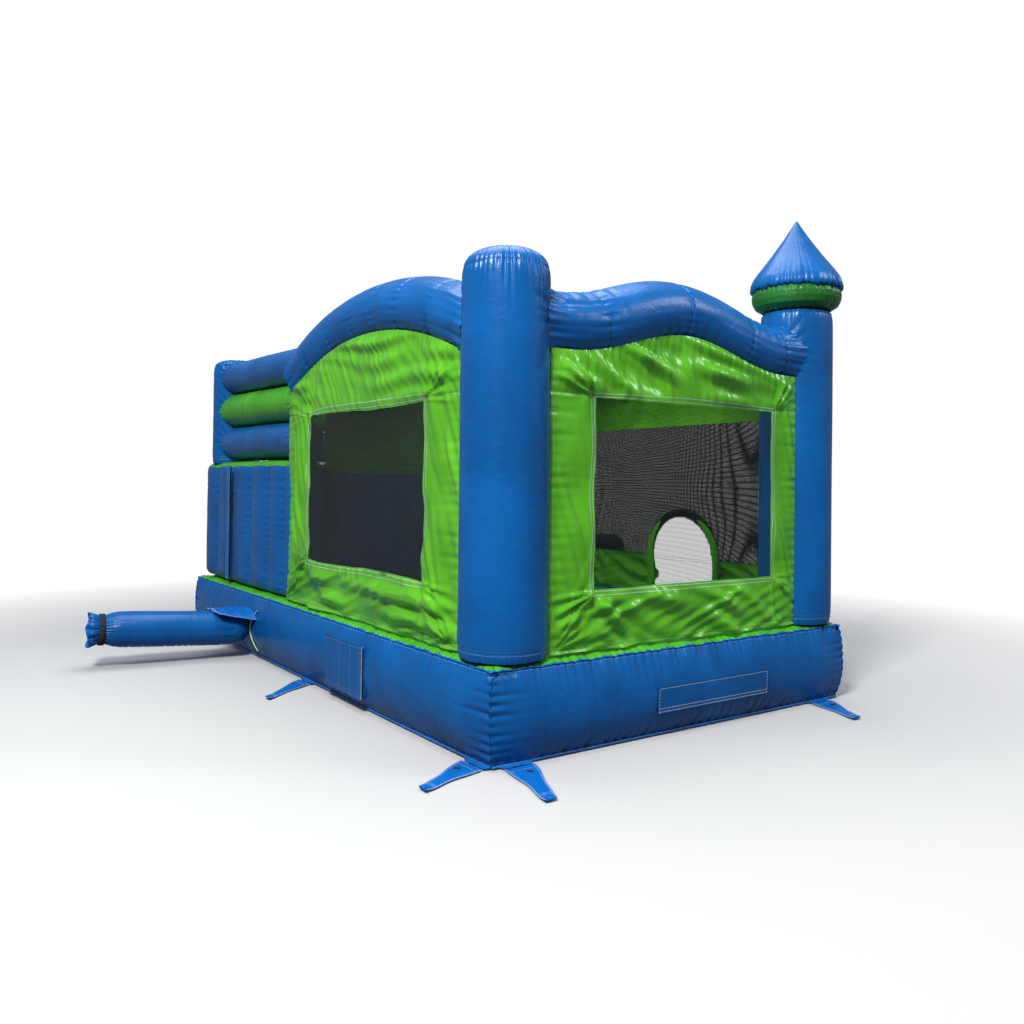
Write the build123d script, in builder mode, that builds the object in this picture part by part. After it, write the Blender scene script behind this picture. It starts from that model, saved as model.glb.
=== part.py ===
"""Inflatable bounce house with a climb-and-slide section, in millimetres.

+X runs along the long side from the bounce cabin (-X) to the slide section (+X), -Y is the
front with the doorway and the slide's exit, +Z is up. The origin is on the ground under the
middle of the rectangular base. Each inflated chamber is a closed skin round its own air.
"""
import os
from math import cos, pi, sqrt

from build123d import *

os.makedirs("parts", exist_ok=True)

# ---- driving dimensions -------------------------------------------------------------------
LENGTH = 6200                  # base, along X
WIDTH = 3500                   # base, along Y
SKIN = 3                       # inflated skins
SHEET = 6                      # hanging sheets
NET = 3                        # window nets
GAP = 0.5                      # between neighbours that touch on the real object
GROUND_SHEET = 4

BASE_TOP = 625                 # top of the base tubes
BASE_TUBE = 620                # their width
FLOOR_TOP = 615

COLUMN_R = 290
COLUMN_INSET = 280             # column axis from the edge of the base
FLAT_COLUMN_TOP = 3240
CONE_COLUMN_TOP = 3185
BRIM_TOP = 3375
BRIM_R = 373
CONE_TIP = 3955

ARCH_R = 240
ROUND_ARCH_R = 3700            # of the centre lines of the arches that are arcs
ARCH_CREST = 3070
MIDDLE_ARCH_CREST = 3000
ARCH_SHEET_DROP = 188          # from an arch's centre line down to the sheet's top edge
PANEL_INSET = 100              # sheet walls from the edge of the base
PANEL_FOOT = 645
WINDOW_LOW, WINDOW_HIGH = 1030, 2315

DIVIDE_X = 470                 # where the bounce cabin ends and the slide section starts
MID_X = 560                    # front middle column, middle arch and partition
LOW_WALL_TOP = 1915
UPPER_TUBE_R = 182.5
PLATFORM_TOP = 1480
PLATFORM_FRONT = 555           # Y of the platform's front edge

# ---- positions worked out from them -------------------------------------------------------
HALF_L, HALF_W = LENGTH / 2, WIDTH / 2
COLUMN_X, COLUMN_Y = HALF_L - COLUMN_INSET, HALF_W - COLUMN_INSET
END_PANEL_X = -HALF_L + PANEL_INSET
SIDE_PANEL_Y = HALF_W - PANEL_INSET
CABIN_MID_X = -1125            # crest of the front and rear arches
ENV_LOW = GROUND_SHEET + GAP   # lowest point of the inflated base


def hollow():
    """Take the air out of the part being built, so that only its closed skin stays."""
    offset(amount=-SKIN, mode=Mode.SUBTRACT)


def save(piece, name):
    piece.part.label = name
    export_step(piece.part, f"parts/{name}.step")


def box_between(low, high):
    """A box between two corners, added to the part being built."""
    size = [b - a for a, b in zip(low, high)]
    middle = [(a + b) / 2 for a, b in zip(low, high)]
    with Locations(tuple(middle)):
        Box(*size)


def cushion(name, low, high, radius):
    """An inflated block with all its edges rounded."""
    with BuildPart() as block:
        box_between(low, high)
        fillet(block.edges(), radius)
        hollow()
    save(block, name)


def rounded_wall(x_low, x_high, outline, inset, radius):
    """A wall that runs along Y inside an outline of (y, z) points, with rounded side edges."""
    with BuildPart() as wall:
        with BuildSketch(Plane.YZ.offset(x_low + inset)):
            with BuildLine():
                Polyline(*outline, close=True)
            make_face()
            if inset:
                offset(amount=-inset, kind=Kind.INTERSECTION)
        extrude(amount=x_high - x_low - 2 * inset)
        fillet(wall.edges().filter_by(Axis.X, reverse=True), radius - inset)
    return wall.part


def side_wall(name, x_low, x_high, outline, radius):
    """An inflated wall that runs along Y: a rounded wall with a smaller one taken out."""
    outside = rounded_wall(x_low, x_high, outline, 0, radius)
    inside = rounded_wall(x_low, x_high, outline, SKIN, radius)
    with BuildPart() as wall:
        add(outside)
        add(inside, mode=Mode.SUBTRACT)
    save(wall, name)


# ---- base: four tubes with mitred corners, the floor between them, the ground sheet --------
def base_tube(name, half_long, half_wide, angle):
    """One side of the base: a trapezoid in plan, turned about Z to its side."""
    inner_long, inner_wide = half_long - BASE_TUBE, half_wide - BASE_TUBE
    with BuildPart() as tube:
        with BuildSketch(Plane.XY.offset(ENV_LOW).rotated((0, 0, angle))):
            with BuildLine():
                Polyline(
                    (-half_long + GAP, half_wide),
                    (half_long - GAP, half_wide),
                    (inner_long - GAP, inner_wide),
                    (-inner_long + GAP, inner_wide),
                    close=True,
                )
            make_face()
        extrude(amount=BASE_TOP - ENV_LOW)
        along = Axis.X if angle in (0, 180) else Axis.Y
        fillet(tube.edges().filter_by(along), 95)
        hollow()
    save(tube, name)


base_tube("base_tube_rear", HALF_L, HALF_W, 0)
base_tube("base_tube_end", HALF_W, HALF_L, 90)
base_tube("base_tube_front", HALF_L, HALF_W, 180)
base_tube("base_tube_slide_end", HALF_W, HALF_L, 270)

FLOOR_X = HALF_L - BASE_TUBE - GAP
FLOOR_Y = HALF_W - BASE_TUBE - GAP
cushion(
    "bounce_floor",
    (-FLOOR_X, -FLOOR_Y, ENV_LOW),
    (FLOOR_X, FLOOR_Y, FLOOR_TOP),
    40,
)

FLOOR_WEBS = 11                # upright webs that hold the floor flat
with BuildPart() as floor_webs:
    web_pitch = 2 * FLOOR_X / (FLOOR_WEBS + 1)
    with GridLocations(web_pitch, 0, FLOOR_WEBS, 1):
        Box(
            SKIN,
            2 * FLOOR_Y - 140,
            FLOOR_TOP - ENV_LOW - 2 * SKIN - 2,
            align=(Align.CENTER, Align.CENTER, Align.MIN),
        )
floor_webs.part.position = (0, 0, ENV_LOW + SKIN + 1)
save(floor_webs, "floor_webs")

with BuildPart() as ground_sheet:
    box_between((-HALF_L + 40, -HALF_W + 40, 0), (HALF_L - 40, HALF_W - 40, GROUND_SHEET))
    fillet(ground_sheet.edges().filter_by(Axis.Z), 60)
save(ground_sheet, "ground_sheet")


# ---- columns, cone roofs and their brims ---------------------------------------------------
def column(name, x, y, low, high, radius, top_round):
    """An upright inflated column with a domed top."""
    with BuildPart(Plane.XY.offset(low)) as post:
        with Locations((x, y)):
            Cylinder(radius, high - low, align=(Align.CENTER, Align.CENTER, Align.MIN))
        fillet(post.edges().group_by(Axis.Z)[-1], top_round)
        hollow()
    save(post, name)


COLUMN_FOOT = BASE_TOP + GAP
column("column_flat_top", -COLUMN_X, COLUMN_Y, COLUMN_FOOT, FLAT_COLUMN_TOP, COLUMN_R, 120)
column("column_cone_end", -COLUMN_X, -COLUMN_Y, COLUMN_FOOT, CONE_COLUMN_TOP, COLUMN_R, 12)
column("column_cone_middle", MID_X, -COLUMN_Y, COLUMN_FOOT, CONE_COLUMN_TOP, COLUMN_R, 12)

CORNER_X, CORNER_Y, CORNER_R = 2770, 1400, 265
column("column_slide_corner", CORNER_X, CORNER_Y, LOW_WALL_TOP + GAP, 3120, CORNER_R, 110)


def brim_outline(inset):
    """Half section of a brim: its straight sides, then the points of its rounded rim."""
    foot, rim, height = COLUMN_R - 5 - inset, BRIM_R - inset, BRIM_TOP - CONE_COLUMN_TOP - 2 * GAP
    sides = [(foot, inset), (0, inset), (0, height - inset), (rim, height - inset)]
    return sides, [sides[-1], (rim - 12, height * 0.45), sides[0]]


def cone_outline(inset):
    """Half section of a cone roof: its straight sides, then the points of its swelling side."""
    rim, height = BRIM_R - inset, CONE_TIP - BRIM_TOP - inset
    shoulder = (rim * 0.86, height * 0.21)
    sides = [(rim, inset), (0, inset), (0, height), (14, height - 12), shoulder]
    return sides, [shoulder, (rim * 0.97, height * 0.1), sides[0]]


def turned_shell(name, x, y, low, outline):
    """A hollow round piece, turned about its own upright axis."""
    with BuildPart() as shell:
        with BuildSketch(Plane((x, y, low), x_dir=(1, 0, 0), z_dir=(0, -1, 0))):
            for inset, mode in ((0, Mode.ADD), (SKIN, Mode.SUBTRACT)):
                sides, bulge = outline(inset)
                with BuildLine():
                    Polyline(*sides)
                    Spline(*bulge)
                make_face(mode=mode)
        revolve(axis=Axis((x, y, 0), (0, 0, 1)))
    save(shell, name)


for place, roof_x in (("end", -COLUMN_X), ("middle", MID_X)):
    turned_shell(f"cone_brim_{place}", roof_x, -COLUMN_Y, CONE_COLUMN_TOP + GAP, brim_outline)
    turned_shell(f"cone_roof_{place}", roof_x, -COLUMN_Y, BRIM_TOP, cone_outline)


# ---- arches: the end one is a bell curve, the others are arcs -------------------------------
def bell(s):
    """Height of the end arch's centre line at distance s from the middle of the end."""
    share = min(abs(s) / 1140, 1)
    return 2785 + 200 * ((1 + cos(pi * share)) / 2) ** 1.15


def round_height(s, crest):
    """Height of a round arch's centre line at distance s from its crest."""
    return crest - ROUND_ARCH_R + sqrt(ROUND_ARCH_R**2 - s**2)


def column_cutter(x, y, inward):
    """Clears the arch being built from a column, and mitres its inner side there.

    inward is the unit direction across the arch towards the cabin's middle.
    """
    side = 2 * COLUMN_R
    reach = side * sqrt(0.5) - GAP
    with Locations((x, y, ARCH_CREST)):
        Cylinder(COLUMN_R + GAP, 1600, mode=Mode.SUBTRACT)
    with Locations(Location((x + inward[0] * reach, y + inward[1] * reach, ARCH_CREST), (0, 0, 45))):
        Box(side, side, 1600, mode=Mode.SUBTRACT)


ARCH_SPAN = 1420               # half the run of the end arch, into its columns
with BuildPart() as arch_end:
    with BuildLine():
        stations = [-ARCH_SPAN, -1140, -855, -570, -285, 0, 285, 570, 855, 1140, ARCH_SPAN]
        run = FilletPolyline(*[(-COLUMN_X, s, bell(s)) for s in stations], radius=1100)
    with BuildSketch(Plane(run @ 0, z_dir=run % 0)):
        Circle(ARCH_R)
    sweep()
    column_cutter(-COLUMN_X, COLUMN_Y, (1, 0))
    column_cutter(-COLUMN_X, -COLUMN_Y, (1, 0))
    hollow()
save(arch_end, "arch_end")


def round_arch(name, start, crest, end, inward, columns, trim=None):
    """An arch along one circular arc, cut clear of its columns and ended at a trim plane."""
    with BuildPart() as arch:
        with BuildLine():
            run = ThreePointArc(start, crest, end)
        with BuildSketch(Plane(run @ 0, z_dir=run % 0)):
            Circle(ARCH_R)
        sweep()
        for x, y in columns:
            column_cutter(x, y, inward)
        if trim:
            split(bisect_by=trim, keep=Keep.BOTTOM)
        hollow()
    save(arch, name)


CABIN_HALF = (MID_X + COLUMN_X) / 2
SIDE_ARCH_END_Z = round_height(CABIN_HALF, ARCH_CREST)
round_arch(
    "arch_rear",
    (-COLUMN_X, COLUMN_Y, SIDE_ARCH_END_Z),
    (CABIN_MID_X, COLUMN_Y, ARCH_CREST),
    (MID_X, COLUMN_Y, SIDE_ARCH_END_Z),
    (0, -1),
    [(-COLUMN_X, COLUMN_Y)],
    Plane((DIVIDE_X - GAP, COLUMN_Y, 0), z_dir=(1, 0, 0)),
)
round_arch(
    "arch_front",
    (-COLUMN_X, -COLUMN_Y, SIDE_ARCH_END_Z),
    (CABIN_MID_X, -COLUMN_Y, ARCH_CREST),
    (MID_X, -COLUMN_Y, SIDE_ARCH_END_Z),
    (0, 1),
    [(-COLUMN_X, -COLUMN_Y), (MID_X, -COLUMN_Y)],
)
MIDDLE_ARCH_REAR = 1214        # Y where the middle arch meets the upper wall
MIDDLE_ARCH_END_Z = round_height(COLUMN_Y, MIDDLE_ARCH_CREST)
round_arch(
    "arch_middle",
    (MID_X, -COLUMN_Y, MIDDLE_ARCH_END_Z),
    (MID_X, 0, MIDDLE_ARCH_CREST),
    (MID_X, COLUMN_Y, MIDDLE_ARCH_END_Z),
    (-1, 0),
    [(MID_X, -COLUMN_Y)],
    Plane((MID_X, MIDDLE_ARCH_REAR, 0), z_dir=(0, 1, 0)),
)

# ---- sheet walls, their window nets and the doorway ----------------------------------------
PANEL_CHORD = sqrt(COLUMN_R**2 - (COLUMN_INSET - PANEL_INSET - SHEET) ** 2) + 1
SIDE_PANEL_LEFT = -COLUMN_X + PANEL_CHORD
END_PANEL_HALF = COLUMN_Y - PANEL_CHORD
END_WINDOW = (-940, 865)       # Y of its two sides
REAR_WINDOW = (-2120, -20)     # X of its two sides
FRONT_WINDOW = (-2390, 130)
DOOR_X = -1370                 # middle of the doorway
DOOR_HALF = 385
DOOR_SPRING = 1035             # height where its round top starts
DOOR_BAND = 95                 # width of the padded band round it


def arch_edge(centre, left, right, height):
    """Points along the underside of an arch, from the right end to the left one."""
    steps = 8
    spots = [right + (left - right) * i / steps for i in range(steps + 1)]
    return [(s, height(s - centre) - ARCH_SHEET_DROP) for s in spots]


def window_cut(sides):
    """The opening of a window in the sketch being built."""
    with Locations(((sides[0] + sides[1]) / 2, (WINDOW_LOW + WINDOW_HIGH) / 2)):
        Rectangle(sides[1] - sides[0], WINDOW_HIGH - WINDOW_LOW, mode=Mode.SUBTRACT)


def window_net(name, plane, sides):
    """A net that fills a window."""
    with BuildPart() as net:
        with BuildSketch(plane):
            with Locations(((sides[0] + sides[1]) / 2, (WINDOW_LOW + WINDOW_HIGH) / 2)):
                Rectangle(sides[1] - sides[0] - 2 * GAP, WINDOW_HIGH - WINDOW_LOW - 2 * GAP)
        extrude(amount=NET / 2, both=True)
    save(net, name)


def side_plane(y):
    """Upright plane at y whose first direction is +X and whose second is +Z."""
    return Plane((0, y, 0), x_dir=(1, 0, 0), z_dir=(0, -1, 0))


END_PLANE = Plane((END_PANEL_X, 0, 0), x_dir=(0, 1, 0), z_dir=(1, 0, 0))
REAR_PLANE = side_plane(SIDE_PANEL_Y)
FRONT_PLANE = side_plane(-SIDE_PANEL_Y)

with BuildPart() as panel_end:
    with BuildSketch(END_PLANE):
        top_edge = arch_edge(0, -END_PANEL_HALF, END_PANEL_HALF, bell)
        with BuildLine():
            Polyline(
                top_edge[-1],
                (-END_PANEL_HALF, PANEL_FOOT),
                (END_PANEL_HALF, PANEL_FOOT),
                top_edge[0],
            )
            Spline(*top_edge)
        make_face()
        window_cut(END_WINDOW)
    extrude(amount=SHEET / 2, both=True)
save(panel_end, "panel_end")

with BuildPart() as panel_rear:
    with BuildSketch(REAR_PLANE):
        top_edge = arch_edge(
            CABIN_MID_X,
            SIDE_PANEL_LEFT,
            DIVIDE_X - 1,
            lambda s: round_height(s, ARCH_CREST),
        )
        with BuildLine():
            Polyline(
                top_edge[-1],
                (SIDE_PANEL_LEFT, PANEL_FOOT),
                (355, PANEL_FOOT),
                (355, LOW_WALL_TOP + 5),
                (DIVIDE_X - 1, LOW_WALL_TOP + 5),
                top_edge[0],
            )
            Spline(*top_edge)
        make_face()
        window_cut(REAR_WINDOW)
    extrude(amount=SHEET / 2, both=True)
save(panel_rear, "panel_rear")


def door_shape(half, foot, mode):
    """A round-topped doorway in the sketch being built."""
    with Locations((DOOR_X, (foot + DOOR_SPRING) / 2)):
        Rectangle(2 * half, DOOR_SPRING - foot, mode=mode)
    with Locations((DOOR_X, DOOR_SPRING)):
        Circle(half, mode=mode)


with BuildPart() as panel_front:
    with BuildSketch(FRONT_PLANE):
        top_edge = arch_edge(
            CABIN_MID_X,
            SIDE_PANEL_LEFT,
            MID_X - PANEL_CHORD,
            lambda s: round_height(s, ARCH_CREST),
        )
        with BuildLine():
            Polyline(
                top_edge[-1],
                (SIDE_PANEL_LEFT, PANEL_FOOT),
                (MID_X - PANEL_CHORD, PANEL_FOOT),
                top_edge[0],
            )
            Spline(*top_edge)
        make_face()
        window_cut(FRONT_WINDOW)
        door_shape(DOOR_HALF + DOOR_BAND + GAP, PANEL_FOOT - 5, Mode.SUBTRACT)
    extrude(amount=SHEET / 2, both=True)
save(panel_front, "panel_front")

with BuildPart() as net_front:
    with BuildSketch(FRONT_PLANE):
        with Locations((sum(FRONT_WINDOW) / 2, (WINDOW_LOW + WINDOW_HIGH) / 2)):
            Rectangle(
                FRONT_WINDOW[1] - FRONT_WINDOW[0] - 2 * GAP,
                WINDOW_HIGH - WINDOW_LOW - 2 * GAP,
            )
        door_shape(DOOR_HALF + DOOR_BAND + GAP, PANEL_FOOT, Mode.SUBTRACT)
    extrude(amount=NET / 2, both=True)
save(net_front, "net_front")

with BuildPart() as doorway_band:
    with BuildSketch(FRONT_PLANE):
        door_shape(DOOR_HALF + DOOR_BAND, PANEL_FOOT, Mode.ADD)
        door_shape(DOOR_HALF, PANEL_FOOT, Mode.SUBTRACT)
        with Locations((DOOR_X, PANEL_FOOT)):
            Rectangle(1200, 300, align=(Align.CENTER, Align.MAX), mode=Mode.SUBTRACT)
    extrude(amount=25, both=True)
save(doorway_band, "doorway_band")

window_net("net_end", END_PLANE, END_WINDOW)
window_net("net_rear", REAR_PLANE, REAR_WINDOW)

PARTITION_TOP = 1850
with BuildPart() as panel_middle:
    with BuildSketch(Plane((MID_X, 0, 0), x_dir=(0, 1, 0), z_dir=(1, 0, 0))):
        front_y, rear_y = -COLUMN_Y + COLUMN_R + 1, MIDDLE_ARCH_REAR
        under_arch = ARCH_R + 30
        front_z = round_height(front_y, MIDDLE_ARCH_CREST) - under_arch
        rear_z = round_height(rear_y, MIDDLE_ARCH_CREST) - under_arch
        with BuildLine():
            Polyline(
                (front_y, front_z),
                (front_y, PARTITION_TOP + 5),
                (rear_y, PARTITION_TOP + 5),
                (rear_y, rear_z),
            )
            ThreePointArc((front_y, front_z), (0, MIDDLE_ARCH_CREST - under_arch), (rear_y, rear_z))
        make_face()
    extrude(amount=SHEET / 2, both=True)
save(panel_middle, "panel_middle")

ROOF_HALF_Y = COLUMN_Y - ARCH_R - 5
ROOF_LEFT, ROOF_RIGHT = -COLUMN_X + ARCH_R + 10, MID_X - ARCH_R - 10
ROOF_EDGE, ROOF_CREST = 2790, 2985
with BuildPart() as bounce_roof:
    with BuildSketch(side_plane(ROOF_HALF_Y)):
        with BuildLine():
            for lift in (0, SHEET):
                ThreePointArc(
                    (ROOF_LEFT, ROOF_EDGE + lift),
                    (CABIN_MID_X, ROOF_CREST + lift),
                    (ROOF_RIGHT, ROOF_EDGE + lift),
                )
            for x in (ROOF_LEFT, ROOF_RIGHT):
                Line((x, ROOF_EDGE), (x, ROOF_EDGE + SHEET))
        make_face()
    extrude(amount=2 * ROOF_HALF_Y)
save(bounce_roof, "bounce_roof")

# ---- slide section: walls -------------------------------------------------------------------
WALL_FOOT = BASE_TOP + GAP
REAR_WALL_Y = (1300, 1685)
LANE_X = (695, 1615)           # climbing lane
SLIDE_X = (1805, 2695)         # slide lane
END_WALL_X = (2700, 3090)
LANE_FRONT = -1710
cushion(
    "lower_wall_rear",
    (360, REAR_WALL_Y[0], WALL_FOOT),
    (END_WALL_X[1], REAR_WALL_Y[1], LOW_WALL_TOP),
    60,
)
side_wall(
    "lower_wall_end",
    *END_WALL_X,
    [(1295, WALL_FOOT), (1295, 1915), (50, 1915), (LANE_FRONT, 1150), (LANE_FRONT, WALL_FOOT)],
    60,
)
cushion(
    "partition",
    (MID_X - 130, -350, WALL_FOOT),
    (MID_X + 130, REAR_WALL_Y[0] - 5, PARTITION_TOP),
    60,
)
side_wall(
    "lane_divider",
    LANE_X[1] + 5,
    SLIDE_X[0] - 5,
    [(550, WALL_FOOT), (550, 1900), (300, 1900), (LANE_FRONT, 1100), (LANE_FRONT, WALL_FOOT)],
    45,
)
cushion("lower_wall_front", (855, LANE_FRONT, WALL_FOOT), (LANE_X[1], -1400, 1450), 60)

UPPER_TUBE_Y = 1450            # the tubes of the upper wall behind the platform
UPPER_TUBE_X = 2748            # and of the one beside it
UPPER_RUN_FRONT = 100          # Y where the side runs stop
UPPER_RUNS = [                 # start, direction and length of the two runs
    ((DIVIDE_X + GAP, UPPER_TUBE_Y), (1, 0, 0), CORNER_X - DIVIDE_X),
    ((UPPER_TUBE_X, UPPER_RUN_FRONT), (0, 1, 0), 1110),
]
for level, place in enumerate(("low", "middle", "top")):
    tube_z = LOW_WALL_TOP + 46 + UPPER_TUBE_R + level * (2 * UPPER_TUBE_R + GAP)
    with BuildPart() as upper_tube:
        for spot, way, length in UPPER_RUNS:
            start = Plane((*spot, tube_z), z_dir=way)
            with BuildSketch(start):
                Circle(UPPER_TUBE_R)
            extrude(amount=length)
            with BuildSketch(start.offset(SKIN)):
                Circle(UPPER_TUBE_R - SKIN)
            extrude(amount=length - SKIN, mode=Mode.SUBTRACT)
        with Locations((CORNER_X, CORNER_Y, tube_z)):
            Cylinder(CORNER_R + GAP, 4 * UPPER_TUBE_R, mode=Mode.SUBTRACT)
    save(upper_tube, f"upper_tube_{place}")

# ---- slide section: climb, platform, slide, landing -----------------------------------------
RAMP_START = -950
side_wall(
    "climbing_ramp",
    *LANE_X,
    [(RAMP_START, WALL_FOOT), (PLATFORM_FRONT - 5, PLATFORM_TOP), (PLATFORM_FRONT - 5, WALL_FOOT)],
    20,
)

STEPS = 5
STEP_R = 34
ramp_rise, ramp_run = PLATFORM_TOP - WALL_FOOT, PLATFORM_FRONT - 5 - RAMP_START
ramp_slope = sqrt(ramp_rise**2 + ramp_run**2)
with BuildPart() as climbing_steps:
    for i in range(1, STEPS + 1):
        share = i / (STEPS + 1)
        step_y = RAMP_START + share * ramp_run - (STEP_R + GAP) * ramp_rise / ramp_slope
        step_z = WALL_FOOT + share * ramp_rise + (STEP_R + GAP) * ramp_run / ramp_slope
        with BuildSketch(Plane((LANE_X[0] + 60, step_y, step_z), z_dir=(1, 0, 0))):
            Circle(STEP_R)
        extrude(amount=LANE_X[1] - LANE_X[0] - 120)
save(climbing_steps, "climbing_steps")

cushion(
    "platform",
    (LANE_X[0], PLATFORM_FRONT, WALL_FOOT),
    (SLIDE_X[1], REAR_WALL_Y[0] - 5, PLATFORM_TOP),
    40,
)

SLIDE_FOOT_Y = -1450
SLIDE_LIP_Z = BASE_TOP + 40
SLIDE_LINE = [
    (PLATFORM_FRONT - 5, PLATFORM_TOP),
    (SLIDE_FOOT_Y, SLIDE_LIP_Z),
    (-HALF_W + 5, SLIDE_LIP_Z),
]
side_wall(
    "slide_bed",
    *SLIDE_X,
    [*SLIDE_LINE, (-HALF_W + 5, WALL_FOOT), (PLATFORM_FRONT - 5, WALL_FOOT)],
    14,
)
with BuildPart() as slide_cover:
    with BuildSketch(Plane.YZ.offset(SLIDE_X[0] + 30)):
        with BuildLine():
            lower = [(y, z + 1) for y, z in SLIDE_LINE]
            upper = [(y, z + 1 + SHEET) for y, z in reversed(SLIDE_LINE)]
            Polyline(*lower, *upper, close=True)
        make_face()
    extrude(amount=SLIDE_X[1] - SLIDE_X[0] - 60)
save(slide_cover, "slide_cover")

OUTER_FRONT = -HALF_W - 15     # Y where the pieces in front of the base start
LANDING_END = -2650
cushion("landing_bumper_cabin", (470, LANDING_END, 0), (800, OUTER_FRONT, 1130), 80)
cushion("landing_bumper_outer", (2760, LANDING_END, 0), (3090, OUTER_FRONT, 1130), 80)
cushion("landing_pad", (805, LANDING_END + 50, 0), (2755, OUTER_FRONT, 300), 50)
cushion("entrance_step", (DOOR_X - 480, -2350, 0), (DOOR_X + 480, OUTER_FRONT, 300), 60)

# ---- sewn-on pieces: label pocket, spare inlet pouch and its flap ---------------------------
with BuildPart() as label_pocket:
    box_between((-HALF_L - 3.5, -739, 178), (-HALF_L - GAP, 398, 352))
save(label_pocket, "label_pocket")

POUCH_X = (-1450, -790)
POUCH_DEEP = 47                # it bellies out with the base wall behind it
with BuildPart() as spare_inlet_pouch:
    box_between((POUCH_X[0], HALF_W + GAP, 110), (POUCH_X[1], HALF_W + POUCH_DEEP, 500))
    fillet(spare_inlet_pouch.edges().group_by(Axis.Y)[-1], 4)
save(spare_inlet_pouch, "spare_inlet_pouch")

with BuildPart() as pouch_flap:
    box_between(
        (POUCH_X[0] - 5, HALF_W + POUCH_DEEP + GAP, 105),
        (POUCH_X[1] - 5, HALF_W + POUCH_DEEP + GAP + SHEET, 505),
    )
save(pouch_flap, "pouch_flap")

# ---- blower sleeve, its tie and the flap over its root --------------------------------------
SLEEVE_R = 165
SLEEVE_PIVOT = Vector(1170, HALF_W + SLEEVE_R + 10, 288)
SLEEVE_WAY = Vector(0.088, 0.994, 0.056).normalized()
NECK_R = 132
NECK_AT = 1150                 # from the pivot to the start of the neck
sleeve_side = Vector(0, 0, 1).cross(SLEEVE_WAY).normalized()
sleeve_plane = Plane(SLEEVE_PIVOT, x_dir=SLEEVE_WAY, z_dir=sleeve_side)
sleeve_axis = Axis(SLEEVE_PIVOT, SLEEVE_WAY)

with BuildPart() as blower_sleeve:
    with BuildSketch(sleeve_plane):
        with BuildLine():
            ThreePointArc(
                (-SLEEVE_R, 0),
                (-SLEEVE_R * sqrt(0.5), SLEEVE_R * sqrt(0.5)),
                (0, SLEEVE_R),
            )
            Polyline(
                (0, SLEEVE_R),
                (NECK_AT - 90, SLEEVE_R),
                (NECK_AT, NECK_R),
                (NECK_AT + 55, NECK_R),
                (NECK_AT + 130, NECK_R + 22),
                (NECK_AT + 130, 0),
                (-SLEEVE_R, 0),
            )
        make_face()
    revolve(axis=sleeve_axis)
    hollow()
save(blower_sleeve, "blower_sleeve")

with BuildPart() as sleeve_tie:
    with BuildSketch(sleeve_plane):
        with Locations((NECK_AT + 28, NECK_R + 5)):
            Rectangle(38, 8)
    revolve(axis=sleeve_axis)
save(sleeve_tie, "sleeve_tie")

FLAP_Z = 472                   # hinge line of the flap over the sleeve's root
FLAP_MID_X = 1190
with BuildPart() as sleeve_flap:
    with BuildSketch(Plane.XY.offset(FLAP_Z - 2)):
        with BuildLine():
            Polyline(
                (FLAP_MID_X - 300, HALF_W + 30),
                (FLAP_MID_X + 300, HALF_W + 30),
                (FLAP_MID_X + 215, HALF_W + 390),
                (FLAP_MID_X - 215, HALF_W + 390),
                close=True,
            )
        make_face()
    extrude(amount=4)
save(sleeve_flap, "sleeve_flap")

# ---- deflation zipper in the rear lower wall ------------------------------------------------
ZIP_X = 2060
ZIP_FACE = REAR_WALL_Y[1] + GAP
with BuildPart() as zipper_chain:
    box_between((ZIP_X - 25, ZIP_FACE, 680), (ZIP_X + 25, ZIP_FACE + 3, 1880))
save(zipper_chain, "zipper_chain")

SLIDER_TOP = 1745
with BuildPart() as zipper_slider:
    box_between((ZIP_X - 15, ZIP_FACE + 3.5, SLIDER_TOP - 45), (ZIP_X + 15, ZIP_FACE + 13, SLIDER_TOP))
    fillet(zipper_slider.edges().filter_by(Axis.Y), 6)
    box_between(
        (ZIP_X - 6, ZIP_FACE + 13, SLIDER_TOP - 90),
        (ZIP_X + 6, ZIP_FACE + 16, SLIDER_TOP - 15),
    )
save(zipper_slider, "zipper_slider")

with BuildPart() as zipper_flap:
    box_between((ZIP_X - 45, ZIP_FACE + 20, 670), (ZIP_X + 50, ZIP_FACE + 24, 1890))
save(zipper_flap, "zipper_flap")

# ---- anchor tabs: a tapering tab with an eyelet, hinged at the base's bottom seam ------------
TAB_ROOT, TAB_TIP = 230, 70
TAB_OFF = 12                   # the hinge line from the base's side
EYELET_R, EYELET_WALL = 14, 6
EYELET_REACH = 105


def anchor_tab(name, root, outward, skew, reach=470):
    """A tab that leaves the base at root, its tip shifted sideways by skew."""
    along = Vector(*outward).cross(Vector(0, 0, 1))
    seam = Plane((*root, 5), x_dir=along, z_dir=(0, 0, 1))
    with BuildPart() as tab:
        with BuildSketch(seam.offset(-SHEET / 2)):
            with BuildLine():
                Polyline(
                    (-TAB_ROOT / 2, 0),
                    (TAB_ROOT / 2, 0),
                    (skew + TAB_TIP / 2, reach),
                    (skew - TAB_TIP / 2, reach),
                    close=True,
                )
            make_face()
            with Locations((0, EYELET_REACH)):
                Circle(EYELET_R + EYELET_WALL + 0.3, mode=Mode.SUBTRACT)
        extrude(amount=SHEET)
        with BuildSketch(seam.offset(-SHEET / 2 - 1)):
            with Locations((0, EYELET_REACH)):
                Circle(EYELET_R + EYELET_WALL)
                Circle(EYELET_R, mode=Mode.SUBTRACT)
        extrude(amount=SHEET + 2)
    save(tab, f"anchor_tab_{name}")


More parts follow.
